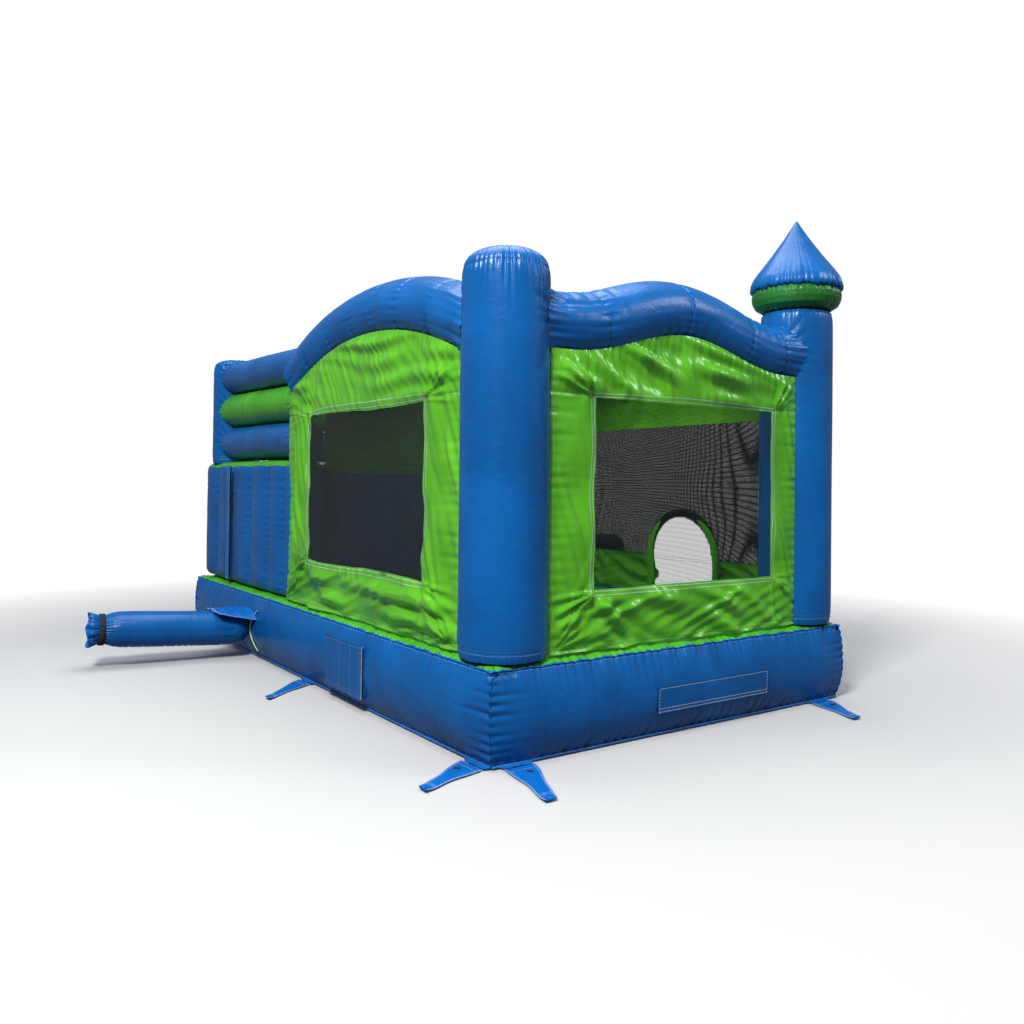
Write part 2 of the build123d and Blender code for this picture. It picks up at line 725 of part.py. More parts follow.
anchor_tab("rear_corner", (-2930, HALF_W + TAB_OFF), (0, 1, 0), -220)
anchor_tab("rear_middle", (-260, HALF_W + TAB_OFF), (0, 1, 0), -400)
anchor_tab("end_rear", (-HALF_L - TAB_OFF, 1530), (-1, 0, 0), 195, reach=570)
anchor_tab("end_front", (-HALF_L - TAB_OFF, -1447), (-1, 0, 0), 220)
anchor_tab("front", (-2700, -HALF_W - TAB_OFF), (0, -1, 0), 0)
anchor_tab("slide_end", (HALF_L + TAB_OFF, 300), (1, 0, 0), 0)
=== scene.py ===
"""Looks of the inflatable bounce house, in metres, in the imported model's frame."""

import math

import bpy
import numpy as np
from mathutils import Matrix


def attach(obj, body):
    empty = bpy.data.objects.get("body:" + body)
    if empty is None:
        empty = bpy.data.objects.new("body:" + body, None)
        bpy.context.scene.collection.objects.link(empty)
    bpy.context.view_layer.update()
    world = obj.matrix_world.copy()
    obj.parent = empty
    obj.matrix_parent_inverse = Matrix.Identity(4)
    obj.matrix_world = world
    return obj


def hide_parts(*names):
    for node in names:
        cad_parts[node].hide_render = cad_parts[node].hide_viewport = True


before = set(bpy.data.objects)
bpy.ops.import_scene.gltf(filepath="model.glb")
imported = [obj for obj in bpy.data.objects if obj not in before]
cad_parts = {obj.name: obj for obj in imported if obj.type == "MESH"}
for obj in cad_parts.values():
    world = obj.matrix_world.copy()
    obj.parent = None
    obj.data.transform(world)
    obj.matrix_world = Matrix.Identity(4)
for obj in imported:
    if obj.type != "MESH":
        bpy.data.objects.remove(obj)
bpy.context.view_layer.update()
PI = math.pi
MAIN = "envelope"
UP = np.array([0, 0, 1.0])


# ---------------------------------------------------------------- noise and folds


def lattice(i, j, seed):
    x = np.sin(i * 12.9898 + j * 78.233 + seed * 37.719) * 43758.5453
    return x - np.floor(x)


def noise(x, y=0.0, seed=0):
    """Smooth noise from 0 to 1."""
    x, y = np.broadcast_arrays(np.asarray(x, float), np.asarray(y, float))
    i, j = np.floor(x), np.floor(y)
    f, g = x - i, y - j
    f, g = f * f * (3 - 2 * f), g * g * (3 - 2 * g)
    a = lattice(i, j, seed) * (1 - f) + lattice(i + 1, j, seed) * f
    b = lattice(i, j + 1, seed) * (1 - f) + lattice(i + 1, j + 1, seed) * f
    return a * (1 - g) + b * g


def crinkle(x, y, scale, seed=0, octaves=3):
    """Sharp-ridged creases such as vinyl takes, from about -0.6 to 1."""
    x, y = np.asarray(x, float) / scale, np.asarray(y, float) / scale
    x, y = x + 0.9 * noise(0.7 * x, 0.7 * y, seed + 9), y + 0.9 * noise(0.7 * x, 0.7 * y, seed + 17)
    total, share = 0.0, 1.0
    for k in range(octaves):
        total = total + share * (1 - 3.2 * np.abs(noise(x, y, seed + k) - 0.5))
        x, y = 1.6 * x - 1.1 * y, 1.1 * x + 1.6 * y
        share *= 0.5
    return total / 1.75


def pucker(s, d, pitch, depth, reach, seed=0):
    """Inward folds that a gathered seam leaves. s runs along the seam and d away from it."""
    w = s / pitch + 0.9 * noise(s / pitch * 0.31, 0.5, seed)
    k = np.round(w)
    size = 0.2 + 0.8 * lattice(k, 1, seed + 1)
    span = reach * (0.3 + 1.4 * lattice(k, 2, seed + 2))
    crease = (1 - np.minimum(1, np.abs(w - k) * 2)) ** 1.5
    return -depth * size * crease * np.exp(-((np.abs(d) / span) ** 1.3))


def drape(x, y, angle, length, width, seed=0):
    """Long folds that run one way across a slack sheet, from about -0.6 to 1.6."""
    run = x * math.cos(angle) + y * math.sin(angle)
    over = y * math.cos(angle) - x * math.sin(angle)
    t = over / width + 1.6 * noise(run / length, over / (3 * width), seed)
    k = np.floor(t)
    share = noise(run / (0.55 * length) + 7 * lattice(k, 1, seed), 0.6 * k, seed + 2)
    return np.sin(PI * (t - k)) ** 2 * (2.2 * share - 0.6)


def fan(x, y, centre, angle, spread, count, depth, reach, seed=0):
    """Folds that fan out from a point of a sheet where it is pulled."""
    dx, dy = x - centre[0], y - centre[1]
    r = np.hypot(dx, dy)
    a = (np.arctan2(dy, dx) - angle + PI) % (2 * PI) - PI
    w = a / spread
    hold = np.clip(1 - w * w, 0, 1) * (1 - np.exp(-((r / 0.05) ** 2))) * np.exp(-((r / reach) ** 1.5))
    t = w * count / 2 + 0.35 * noise(r / 0.3, w * 3, seed)
    k = np.round(t)
    ridge = (1 - np.minimum(1, np.abs(t - k) * 2)) ** 1.3 * (lattice(k, 3, seed) * 1.3 - 0.25)
    return depth * hold * ridge


# ---------------------------------------------------------------- mesh helpers


def unit(v):
    return v / np.maximum(np.linalg.norm(v, axis=-1, keepdims=True), 1e-9)


def normals(points, closed=(False, False)):
    def slope(axis):
        if closed[axis]:
            return np.roll(points, -1, axis) - np.roll(points, 1, axis)
        return np.gradient(points, axis=axis)

    return unit(np.cross(slope(0), slope(1)))


def grid_quads(nu, nv, closed=(False, False)):
    i, j = np.meshgrid(np.arange(nu - (not closed[0])), np.arange(nv - (not closed[1])), indexing="ij")
    a, b = (i + 1) % nu, (j + 1) % nv
    return np.stack([i * nv + j, a * nv + j, a * nv + b, i * nv + b], -1).reshape(-1, 4)


def build(name, points, quads, materials, node=None, body=MAIN, index=None):
    """A mesh of quads that rides on a CAD body. If it stands for a CAD node, that node's part is hidden."""
    points, quads = np.asarray(points, float).reshape(-1, 3), np.asarray(quads).reshape(-1, 4)
    materials = materials if isinstance(materials, list) else [materials]
    data = bpy.data.meshes.new(name)
    data.vertices.add(len(points))
    data.vertices.foreach_set("co", points.astype(np.float32).ravel())
    data.loops.add(quads.size)
    data.loops.foreach_set("vertex_index", quads.astype(np.int32).ravel())
    data.polygons.add(len(quads))
    data.polygons.foreach_set("loop_start", np.arange(0, quads.size, 4, dtype=np.int32))
    for m in materials:
        data.materials.append(m)
    if index is not None:
        data.polygons.foreach_set("material_index", np.asarray(index, np.int32).ravel())
    data.polygons.foreach_set("use_smooth", np.ones(len(quads), bool))
    data.update(calc_edges=True)
    data.validate()
    o = bpy.data.objects.new(name, data)
    bpy.context.scene.collection.objects.link(o)
    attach(o, body)
    if node:
        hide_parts(node)
    return o


def inflated(*args, **words):
    """A piece that air keeps full and tight."""
    build(*args, **words)


def relief(points, depth, closed=(False, False), outward=None):
    """Moves a surface along its normals, which it also returns. outward says roughly which way is out."""
    n = normals(points, closed)
    if outward is not None:
        n = n * np.where((n * outward).sum(-1, keepdims=True) < 0, -1.0, 1.0)
    return points + n * np.asarray(depth)[..., None], n


def along(line):
    steps = np.linalg.norm(np.diff(line, axis=0), axis=1)
    return np.concatenate([[0], np.cumsum(steps)])


def resample(line, distances, values=None):
    """A line's points, or values given at its points, at distances along it."""
    values = line if values is None else values
    s = along(line)
    return np.stack([np.interp(distances, s, values[:, k]) for k in range(3)], -1)


def stitches(name, lines, material, body=MAIN, stitch=0.012, gap=0.007, width=0.0028, lift=0.0014):
    """Rows of thread. Each line is (points, outward direction or directions)."""
    points = []
    for line, facing in lines:
        line = np.asarray(line, float)
        facing = np.broadcast_to(np.asarray(facing, float), line.shape)
        s = along(line)
        start = np.arange(0.004, s[-1] - stitch, stitch + gap)
        a, b, up = resample(line, start), resample(line, start + stitch), unit(resample(line, start, facing))
        side = unit(np.cross(b - a, up)) * width / 2
        a, b = a + up * lift, b + up * lift
        points.append(np.stack([a - side, a + side, b + side, b - side], 1))
    points = np.concatenate(points)
    return build(name, points, np.arange(len(points) * 4), material, body=body)


def ring_of(line):
    """A closed line, from one ring of points."""
    return np.vstack([line, line[:1]])


def round_line(name, line, radius, material, body=MAIN, turns=10, closed=False, twist=0.0):
    """A thin round piping, rope or ring along a line."""
    line = np.asarray(line, float)
    ahead = np.roll(line, -1, 0) - np.roll(line, 1, 0) if closed else np.gradient(line, axis=0)
    ahead = unit(ahead)
    flat = np.abs(ahead[:, 2]) > 0.95
    side = unit(np.cross(ahead, np.where(flat[:, None], (0, 1.0, 0), UP)))
    up = np.cross(side, ahead)
    a = np.linspace(0, 2 * PI, turns, endpoint=False)
    s = along(line)[:, None]
    r = radius * (1 + twist * np.cos(2 * (a[None] - s / radius * 0.6)))
    p = line[:, None] + r[..., None] * (side[:, None] * np.cos(a)[:, None] + up[:, None] * np.sin(a)[:, None])
    return build(name, p, grid_quads(len(line), turns, (closed, True)), material, body=body)


def tube_points(line, radius, across, turns=112):
    """Rings round a line that lies in one plane, whose normal is across. Angle 0 is along across."""
    line = np.asarray(line, float)
    across = np.asarray(across, float)
    ahead = unit(np.gradient(line, axis=0))
    second = np.cross(ahead, across)
    a = np.linspace(0, 2 * PI, turns, endpoint=False)
    out = across * np.cos(a)[:, None] + second[:, None] * np.sin(a)[:, None]
    r = np.asarray(radius, float)
    r = np.broadcast_to(r.reshape(-1, 1) if r.ndim == 1 else r, (len(line), turns))
    return line[:, None] + out * r[..., None], out, a


def turned(x, y, z, r, turns):
    """Rings round an upright axis: the points, their outward directions, angles and heights."""
    a = np.linspace(0, 2 * PI, turns, endpoint=False)[None]
    z = z[:, None] + 0 * a
    away = np.stack([np.cos(a) + 0 * z, np.sin(a) + 0 * z, 0 * z], -1)
    p = np.array([x, y, 0.0]) + away * r[:, None, None]
    p[..., 2] = z
    return p, away, a, z


def box_grid(n):
    """Whole-number points and quads over the six faces of a box of n cells."""
    cells, quads, count = [], [], 0
    for axis in range(3):
        a, b = (axis + 1) % 3, (axis + 2) % 3
        for side in (0, 1):
            i, j = np.meshgrid(np.arange(n[a] + 1), np.arange(n[b] + 1), indexing="ij")
            g = np.zeros(i.shape + (3,), int)
            g[..., axis], g[..., a], g[..., b] = side * n[axis], i, j
            q = grid_quads(n[a] + 1, n[b] + 1) + count
            quads.append(q if side else q[:, ::-1])
            cells.append(g.reshape(-1, 3))
            count += i.size
    cells, inverse = np.unique(np.concatenate(cells), axis=0, return_inverse=True)
    return cells, inverse.reshape(-1)[np.concatenate(quads)]


def puff(name, node, low, high, edge, materials, crown, wrinkle, shape=None, step=0.02):
    """A sewn, air-filled block whose edges round off and whose faces swell by crown.
    wrinkle(p, n) moves the skin along its normals, and shape(p) bends the whole. TWO_TONE has a green top."""
    low, high = np.array(low, float), np.array(high, float)
    size = high - low
    n = np.maximum(5, np.round(size / step)).astype(int)
    cells, quads = box_grid(n)
    p = low + cells / n * size
    core = np.clip(p, low + edge, high - edge)
    out = unit(p - core)
    p = core + out * edge
    t = np.abs((p - (low + high) / 2) / (size / 2))
    fall = 1 - np.clip(t, 0, 1) ** 3
    swell = sum(out[:, k] ** 2 * fall[:, (k + 1) % 3] * fall[:, (k + 2) % 3] for k in range(3))
    p = p + out * (wrinkle(p, out) - crown * (1 - swell))[:, None]
    index = unit(out[quads].mean(1))[:, 2] > 0.62 if materials == TWO_TONE else None
    inflated(name, p if shape is None else shape(p), quads, materials, node, index=index)


# ---------------------------------------------------------------- materials


class Surface:
    """A new material, with short ways to add and join its nodes."""

    def __init__(self, name):
        self.material = bpy.data.materials.new(name)
        self.material.use_nodes = True
        self.nodes, self.links = self.material.node_tree.nodes, self.material.node_tree.links
        self.shader = self.nodes["Principled BSDF"]
        self.where = self.nodes.new("ShaderNodeTexCoord").outputs["Object"]

    def add(self, kind, **values):
        """A node. Its input sockets take numbers, and underscores in their names stand for spaces."""
        node = self.nodes.new(kind)
        self.put(node, **values)
        return node

    def put(self, node, **values):
        for name, value in values.items():
            node.inputs[name.replace("_", " ")].default_value = value

    def texture(self, kind, scale, detail=3.0, distortion=0.0):
        node = self.add("ShaderNodeTex" + kind, Scale=scale)
        for name, value in (("Detail", detail), ("Distortion", distortion)):
            if name in node.inputs:
                node.inputs[name].default_value = value
        self.links.new(self.where, node.inputs["Vector"])
        return node.outputs["Distance" if kind == "Voronoi" else "Fac"]

    def ramp(self, source, low, high, at=(0.35, 0.65)):
        node = self.add("ShaderNodeMapRange", From_Min=at[0], From_Max=at[1], To_Min=low, To_Max=high)
        self.links.new(source, node.inputs["Value"])
        return node.outputs["Result"]

    def mixed(self, amount, a, b):
        node = self.nodes.new("ShaderNodeMix")
        node.data_type = "RGBA"
        self.links.new(amount, node.inputs["Factor"])
        for socket, value in ((node.inputs["A"], a), (node.inputs["B"], b)):
            if isinstance(value, tuple):
                socket.default_value = (*value, 1)
            else:
                self.links.new(value, socket)
        return node.outputs["Result"]

    def finish(self, colour, rough, layers):
        """Joins the colour, the roughness and a stack of bump layers: (height, strength, distance)."""
        self.links.new(colour, self.shader.inputs["Base Color"])
        self.links.new(rough, self.shader.inputs["Roughness"])
        last = self.shader
        for height, strength, distance in reversed(layers):
            bump = self.add("ShaderNodeBump", Strength=strength, Distance=distance)
            self.links.new(height, bump.inputs["Height"])
            self.links.new(bump.outputs["Normal"], last.inputs["Normal"])
            last = bump
        return self.material


def vinyl(name, colour, deep, rough=(0.24, 0.42), creases=0.5, coat=0.1, dusty=True):
    """Glossy coated cloth, with a fine weave, small creases, uneven gloss and dust near the ground."""
    m = Surface(name)
    broad = m.texture("Noise", 1.7, 4.0, 0.6)
    small = m.texture("Noise", 23.0, 5.0, 1.2)
    crease = m.texture("Noise", 7.5, 6.0, 2.2)
    weave = m.texture("Voronoi", 620.0)
    pale = tuple(min(1.0, 0.85 * c + 0.06) for c in colour)
    shade = m.mixed(m.ramp(broad, 0, 1), colour, deep)
    shade = m.mixed(m.ramp(small, 0.0, 0.1, (0.6, 0.85)), shade, pale)
    if dusty:
        split, dust = m.nodes.new("ShaderNodeSeparateXYZ"), m.nodes.new("ShaderNodeMath")
        dust.operation = "MULTIPLY"
        m.links.new(m.where, split.inputs["Vector"])
        m.links.new(m.ramp(split.outputs["Z"], 0.5, 0.0, (0.0, 0.22)), dust.inputs[0])
        m.links.new(m.ramp(broad, 0.2, 0.8), dust.inputs[1])
        shade = m.mixed(dust.outputs["Value"], shade, (0.03, 0.045, 0.05))
    m.put(m.shader, Specular_IOR_Level=0.2, Coat_Weight=coat, Coat_Roughness=0.16)
    layers = [(crease, creases, 0.03), (small, 0.2 * creases, 0.012), (weave, 0.12, 0.0006)]
    return m.finish(shade, m.ramp(small, *rough), layers)


def cloth(name, colour, deep, scale=420.0, rough=0.85):
    """Matt woven cloth, webbing or thread."""
    m = Surface(name)
    wave, broad = m.texture("Wave", scale, 1.0, 0.4), m.texture("Noise", 11.0, 4.0)
    m.put(m.shader, Specular_IOR_Level=0.25, Sheen_Weight=0.05)
    return m.finish(m.mixed(broad, colour, deep), m.ramp(broad, rough - 0.12, rough), [(wave, 0.4, 0.0008)])


def metal(name, colour, rough=(0.3, 0.5), metallic=1.0):
    m = Surface(name)
    spots = m.texture("Noise", 160.0, 5.0)
    m.put(m.shader, Metallic=metallic)
    dark = tuple(0.6 * c for c in colour)
    return m.finish(m.mixed(spots, colour, dark), m.ramp(spots, *rough), [(spots, 0.2, 0.0006)])


BLUE = vinyl("vinyl_blue", (0.0015, 0.105, 0.36), (0.0012, 0.078, 0.27), (0.3, 0.38), 0.12)
GREEN = vinyl("vinyl_green", (0.070, 0.40, 0.012), (0.045, 0.31, 0.009), creases=0.2)
GREEN_SHEET = vinyl("vinyl_green_sheet", (0.11, 0.44, 0.016), (0.07, 0.33, 0.011), (0.2, 0.32), 0.05, 0.35,
                    dusty=False)
# the brims' green: the green vinyl darkened as painted shade for the shadow under the cones
BRIM_SHADE_GREEN = vinyl("vinyl_green_shaded", (0.022, 0.17, 0.03), (0.012, 0.10, 0.018), creases=0.2)
BLUE_SHEET = vinyl("vinyl_blue_sheet", (0.002, 0.14, 0.5), (0.0015, 0.11, 0.42), creases=0.25, dusty=False)
TAPE = vinyl("vinyl_tape", (0.03, 0.16, 0.50), (0.02, 0.12, 0.42), (0.3, 0.5), 0.3)
# pale lavender blue for the rolled hems of tabs and flaps and the pouch's lip: the hems are real, their pale
# colour is a painted highlight
EDGE_HIGHLIGHT = vinyl("vinyl_edge_highlight", (0.22, 0.36, 0.70), (0.16, 0.28, 0.6), (0.3, 0.5), 0.3, dusty=False)
GROUND = cloth("ground_cloth", (0.03, 0.034, 0.04), (0.02, 0.022, 0.026))
NET = cloth("net_thread", (0.003, 0.0045, 0.0045), (0.002, 0.003, 0.003), 900.0, 0.95)
WEB = cloth("web_cloth", (0.6, 0.62, 0.65), (0.5, 0.52, 0.55))
THREAD = cloth("white_thread", (0.62, 0.68, 0.74), (0.5, 0.56, 0.62), 1500.0)
PALE_THREAD = cloth("pale_blue_thread", (0.22, 0.36, 0.62), (0.16, 0.28, 0.52), 1500.0)
GREEN_THREAD = cloth("pale_green_thread", (0.45, 0.68, 0.32), (0.36, 0.58, 0.25), 1500.0)
STRAP = cloth("strap_webbing", (0.014, 0.014, 0.015), (0.022, 0.022, 0.024), 700.0)
ZIPPER = metal("zipper_coil", (0.03, 0.03, 0.032), metallic=0.0)
DARK_METAL = metal("dark_metal", (0.045, 0.045, 0.05), metallic=0.6)
EYELET = metal("eyelet_metal", (0.05, 0.055, 0.06), metallic=0.8)

TWO_TONE = [BLUE, GREEN]

for node, material in (("ground_sheet", GROUND), ("floor_webs", WEB), ("zipper_slider", DARK_METAL)):
    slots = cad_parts[node].data.materials
    slots.clear()
    slots.append(material)


# ---------------------------------------------------------------- base

BASE_X, BASE_Y = 3.1, 1.75
LOW_SEAM, HIGH_SEAM = 0.018, 0.600
MID_SEAM = (LOW_SEAM + HIGH_SEAM) / 2


def belly(z, corner):
    """How far a base wall swells past the base's box, at height z and that far from its corner."""
    t = np.abs(z - MID_SEAM) / (HIGH_SEAM - MID_SEAM)
    return 0.042 * np.clip(1 - t**2, 0, 1) * (1 - np.exp(-((corner / 0.2) ** 1.5)))


def base_side(name, out, seed):
    """One side of the base: skirt wall with gathers at its seams, and the strip on top."""
    out = np.array([*out, 0.0])
    run, half = np.abs(out[[1, 0, 2]]), BASE_X if out[1] else BASE_Y
    reach = BASE_X + BASE_Y - half
    wall = np.linspace(LOW_SEAM, HIGH_SEAM, 74)
    t = (wall - MID_SEAM) / 0.293
    rows = [(0.16, 0.004), (0.1, 0.003), (0.06, 0.004), (0.048, 0.009)]
    rows += list(zip(np.where(t < 0, 0.046, 0.02) * np.abs(t) ** 2.2, wall))
    first_top = len(rows)
    top = np.concatenate([np.linspace(0.026, 0.16, 18), np.linspace(0.19, 0.62, 16)])
    rows += [(i, 0.621 - 0.021 * math.exp(-(i - 0.02) / 0.028)) for i in top]
    inset, z = np.array(rows).T
    s = np.linspace(-1, 1, int(2 * half / 0.0085))[:, None] * (half - inset)[None]
    p = out * (reach - inset)[None, :, None] + run * s[..., None] + UP * z[None, :, None]
    zz, ii = np.broadcast_to(z, s.shape), np.broadcast_to(inset, s.shape)
    corner = (half - inset)[None] - np.abs(s)
    row = np.arange(len(rows))
    on_wall, on_top = (row >= 4) & (row < first_top), row >= first_top
    p = p + out * (belly(zz, corner) * on_wall)[..., None]
    d_high = np.where(on_wall, HIGH_SEAM - zz, ii - 0.02)
    depth = pucker(s + 9, d_high, 0.066, 0.021, 0.085, seed)
    depth = depth + pucker(s + 9, d_high, 0.21, 0.018, 0.2, seed + 5)
    depth = depth + pucker(s + 4, zz - LOW_SEAM, 0.085, 0.016, 0.08, seed + 11) * on_wall
    depth = depth + pucker(zz, corner, 0.06, 0.022, 0.12, seed + 21 + np.sign(s[:1])) * on_wall
    soft = 0.010 * (noise(s / 0.5, zz / 0.35, seed + 3) - 0.5)
    soft = soft + 0.0015 * crinkle(s * 0.8 + zz, zz * 1.4, 0.3, seed)
    depth = (depth + soft * np.where(on_wall, 1, 0.5)) * (on_wall | on_top)
    p, n = relief(p, depth, outward=out * 0.7 + UP * 0.7)
    index = np.tile(row[:-1] >= first_top + 1, len(s) - 1)
    inflated(name, p, grid_quads(*s.shape), TWO_TONE, name.replace("base", "base_tube"), index=index)
    seam, low_row = first_top - 1, 5
    lines = [(p[:, seam - 2], n[:, seam - 2]), (p[:, low_row], n[:, low_row])]
    stitches(name + "_stitches", lines, PALE_THREAD, stitch=0.01, gap=0.006, width=0.0024)
    round_line(name + "_welt", p[:, 3] + out * 0.008 + UP * 0.006, 0.0085, TAPE, twist=0.18)
    round_line(name + "_top_seam", p[:, seam] + n[:, seam] * 0.004, 0.0045, BLUE_SHEET, turns=8)


base_side("base_rear", (0, 1), 1)
base_side("base_end", (-1, 0), 2)
base_side("base_front", (0, -1), 3)
base_side("base_slide_end", (1, 0), 4)


# ---------------------------------------------------------------- columns, brims and cones

END_X, MIDDLE_X, ROW_Y = -2.82, 0.56, 1.47
WALL_X, WALL_Y = 2.77, 1.40
BASE_TOP = 0.627
COLUMN = 0.29
CROWN = 0.25


def column(name, node, x, y, radius, low, ring, top, joins, seed, dome=True):
    """A round column. joins are (angle in degrees, height, radius) of the tubes that are sewn to it."""
    body_z = np.concatenate([np.linspace(low, low + 0.14, 18), np.linspace(low + 0.155, 2.3, 70),
                             np.linspace(2.315, ring, max(8, int((ring - 2.3) / 0.011)))])
    body_r = radius * (1 - 0.055 * np.exp(-(body_z - low) / 0.045)) - 0.012 * np.exp(-(ring - body_z) / 0.035)
    body_r = body_r - 0.005 * np.exp(-(((body_z - low - 0.062) / 0.006) ** 2))
    t = np.linspace(0.04, PI / 2, 34) if dome else np.linspace(0.1, PI / 2, 12)
    inset, steep, blunt = (0.012, 1.15, 0.62) if dome else (0.008, 1, 0.4)
    top_r = (radius - inset) * np.cos(t) ** blunt
    top_r[-1] = 0.0015
    z, r = np.concatenate([body_z, ring + (top - ring) * np.sin(t) ** steep]), np.concatenate([body_r, top_r])
    p, away, a, zz = turned(x, y, z, r, 208)
    arc = a * radius
    on_body = np.arange(len(z))[:, None] < len(body_z)
    d_ring = np.where(on_body, ring - zz, radius - r[:, None] + (zz - ring) * 0.6)
    pitch = 2 * PI * radius / 44
    depth = pucker(arc, d_ring, pitch, 0.028 if dome else 0.008, 0.085, seed)
    depth = depth + pucker(arc, zz - low, pitch * 0.9, 0.008, 0.06, seed + 3) * on_body
    for angle, height, size in joins:
        off = (a - math.radians(angle) + PI) % (2 * PI) - PI
        u, v = off * radius, zz - height
        away_from = np.hypot(u, v) - size
        around = np.arctan2(v, u) * size + 5
        depth = depth + pucker(around, away_from, 0.075, 0.014, 0.11, seed + 7) * (away_from > -0.02)
    soft = 0.006 * (noise(a * 3 + 9, zz / 0.6, seed) - 0.5) + 0.0008 * crinkle(arc * 1.7, zz * 0.6, 0.3, seed)
    depth = depth + soft * np.where(on_body, 1.0, 0.3)
    for seam in (0.25, 1.75):
        depth = depth - 0.0035 * np.exp(-(((a - seam * PI) * radius / 0.006) ** 2)) * on_body
    p, n = relief(p, depth, (False, True), away + 0.4 * UP)
    inflated(name, p, grid_quads(*zz.shape, (False, True)), BLUE, node)
    hems = [int(np.argmin(np.abs(body_z - low - height))) for height in (0.05, 0.075)]
    lines = [(ring_of(p[k]), ring_of(n[k])) for k in hems]
    stitches(name + "_hem_stitches", lines, PALE_THREAD, stitch=0.01, gap=0.006)


column("column_rear_end", "column_flat_top", END_X, ROW_Y, COLUMN, BASE_TOP, 3.115, 3.24,
       [(-90, 2.8, CROWN), (0, 2.88, CROWN)], 5)
column("column_front_end", "column_cone_end", END_X, -ROW_Y, COLUMN, BASE_TOP, 3.15, 3.184,
       [(90, 2.8, CROWN), (0, 2.88, CROWN)], 6, dome=False)
column("column_front_middle", "column_cone_middle", MIDDLE_X, -ROW_Y, COLUMN, BASE_TOP, 3.15, 3.184,
       [(90, 2.8, CROWN), (180, 2.88, CROWN)], 7, dome=False)
TUBE_ENDS = ((160, 2.14), (160, 2.52), (160, 2.89), (-95, 2.14), (-95, 2.51), (-95, 2.87))
column("column_slide", "column_slide_corner", WALL_X, WALL_Y, 0.265, 1.917, 3.04, 3.118,
       [(angle, height, 0.19) for angle, height in TUBE_ENDS], 8)


def spun(name, node, x, seed, profile, pleats, material):
    """A turned skin. pleats(s, d, z, seed) gives its folds, where s runs round and d up the profile."""
    path = along(np.c_[profile, np.zeros(len(profile))])[:, None]
    p, away, a, z = turned(x, -ROW_Y, profile[:, 1], profile[:, 0], 224)
    p = relief(p, pleats(a * 0.36 + 0 * z, path + 0 * a, z, seed), (False, True), away + 0.2 * UP)[0]
    inflated(name, p, grid_quads(*z.shape, (False, True)), material, node)


def smooth_profile(points, count):
    """A rounded line through points, by blending straight runs."""
    points = np.array(points, float)
    s = along(np.c_[points, np.zeros(len(points))])
    fine = np.linspace(0, s[-1], count)
    out = np.stack([np.interp(fine, s, points[:, k]) for k in range(2)], -1)
    for _ in range(max(2, count // 26)):
        out[1:-1] = 0.25 * out[:-2] + 0.5 * out[1:-1] + 0.25 * out[2:]
    return out


BRIM = smooth_profile([(0.24, 3.187), (0.292, 3.196), (0.334, 3.222), (0.357, 3.27), (0.361, 3.315),
                       (0.350, 3.352), (0.338, 3.362)], 60)
CONE = smooth_profile([(0.330, 3.340), (0.358, 3.346), (0.377, 3.366), (0.376, 3.40), (0.356, 3.45),
                       (0.316, 3.508), (0.21, 3.645), (0.1, 3.80), (0.02, 3.925), (0.0015, 3.952)], 120)


def brim_pleats(s, d, z, seed):
    return pucker(s, d - 0.24, 0.05, 0.024, 0.10, seed) + pucker(s, d, 0.07, 0.02, 0.09, seed + 1)


def cone_pleats(s, d, z, seed):
    """A scalloped lower edge, long folds above it, and seams up the side."""
    seams = -0.003 * np.exp(-(((s % 0.565) - 0.28) / 0.006) ** 2)
    folds = pucker(s, d, 0.052, 0.038, 0.10, seed + 2) + pucker(s, d, 0.16, 0.018, 0.3, seed + 3)
    return folds + seams + 0.002 * crinkle(s, z, 0.25, seed)


# the brims take the darkened green, painted shade for the shadow under the cones
for tag, node, *shape in (("brim", "cone_brim", BRIM, brim_pleats, BRIM_SHADE_GREEN),
                          ("cone", "cone_roof", CONE, cone_pleats, BLUE)):
    for at, x, seed in (("_end", END_X, 11), ("_middle", MIDDLE_X, 12)):
        spun(tag + at, node + at, x, seed, *shape)


# ---------------------------------------------------------------- arches

ARCH = 0.24
LONG_MIDDLE = -1.125


def bell(s):
    return 2.785 + 0.2 * ((1 + np.cos(PI * np.minimum(np.abs(s) / 1.14, 1))) / 2) ** 1.15


def round_height(s, crest):
    return crest - 3.7 + np.sqrt(3.7**2 - s**2)


def long_height(x):
    """Height of the middle line of the rear and front arches."""
    return round_height(x - LONG_MIDDLE, 3.07)


def middle_height(y):
    """Height of the middle line of the middle arch."""
    return round_height(y, 3.0)


# how the cap of an open end closes: the share of its radius and how far it stands out
CAP = ((0.985, 0.003), (0.93, 0.008), (0.75, 0.011), (0.4, 0.013), (0.0, 0.013))


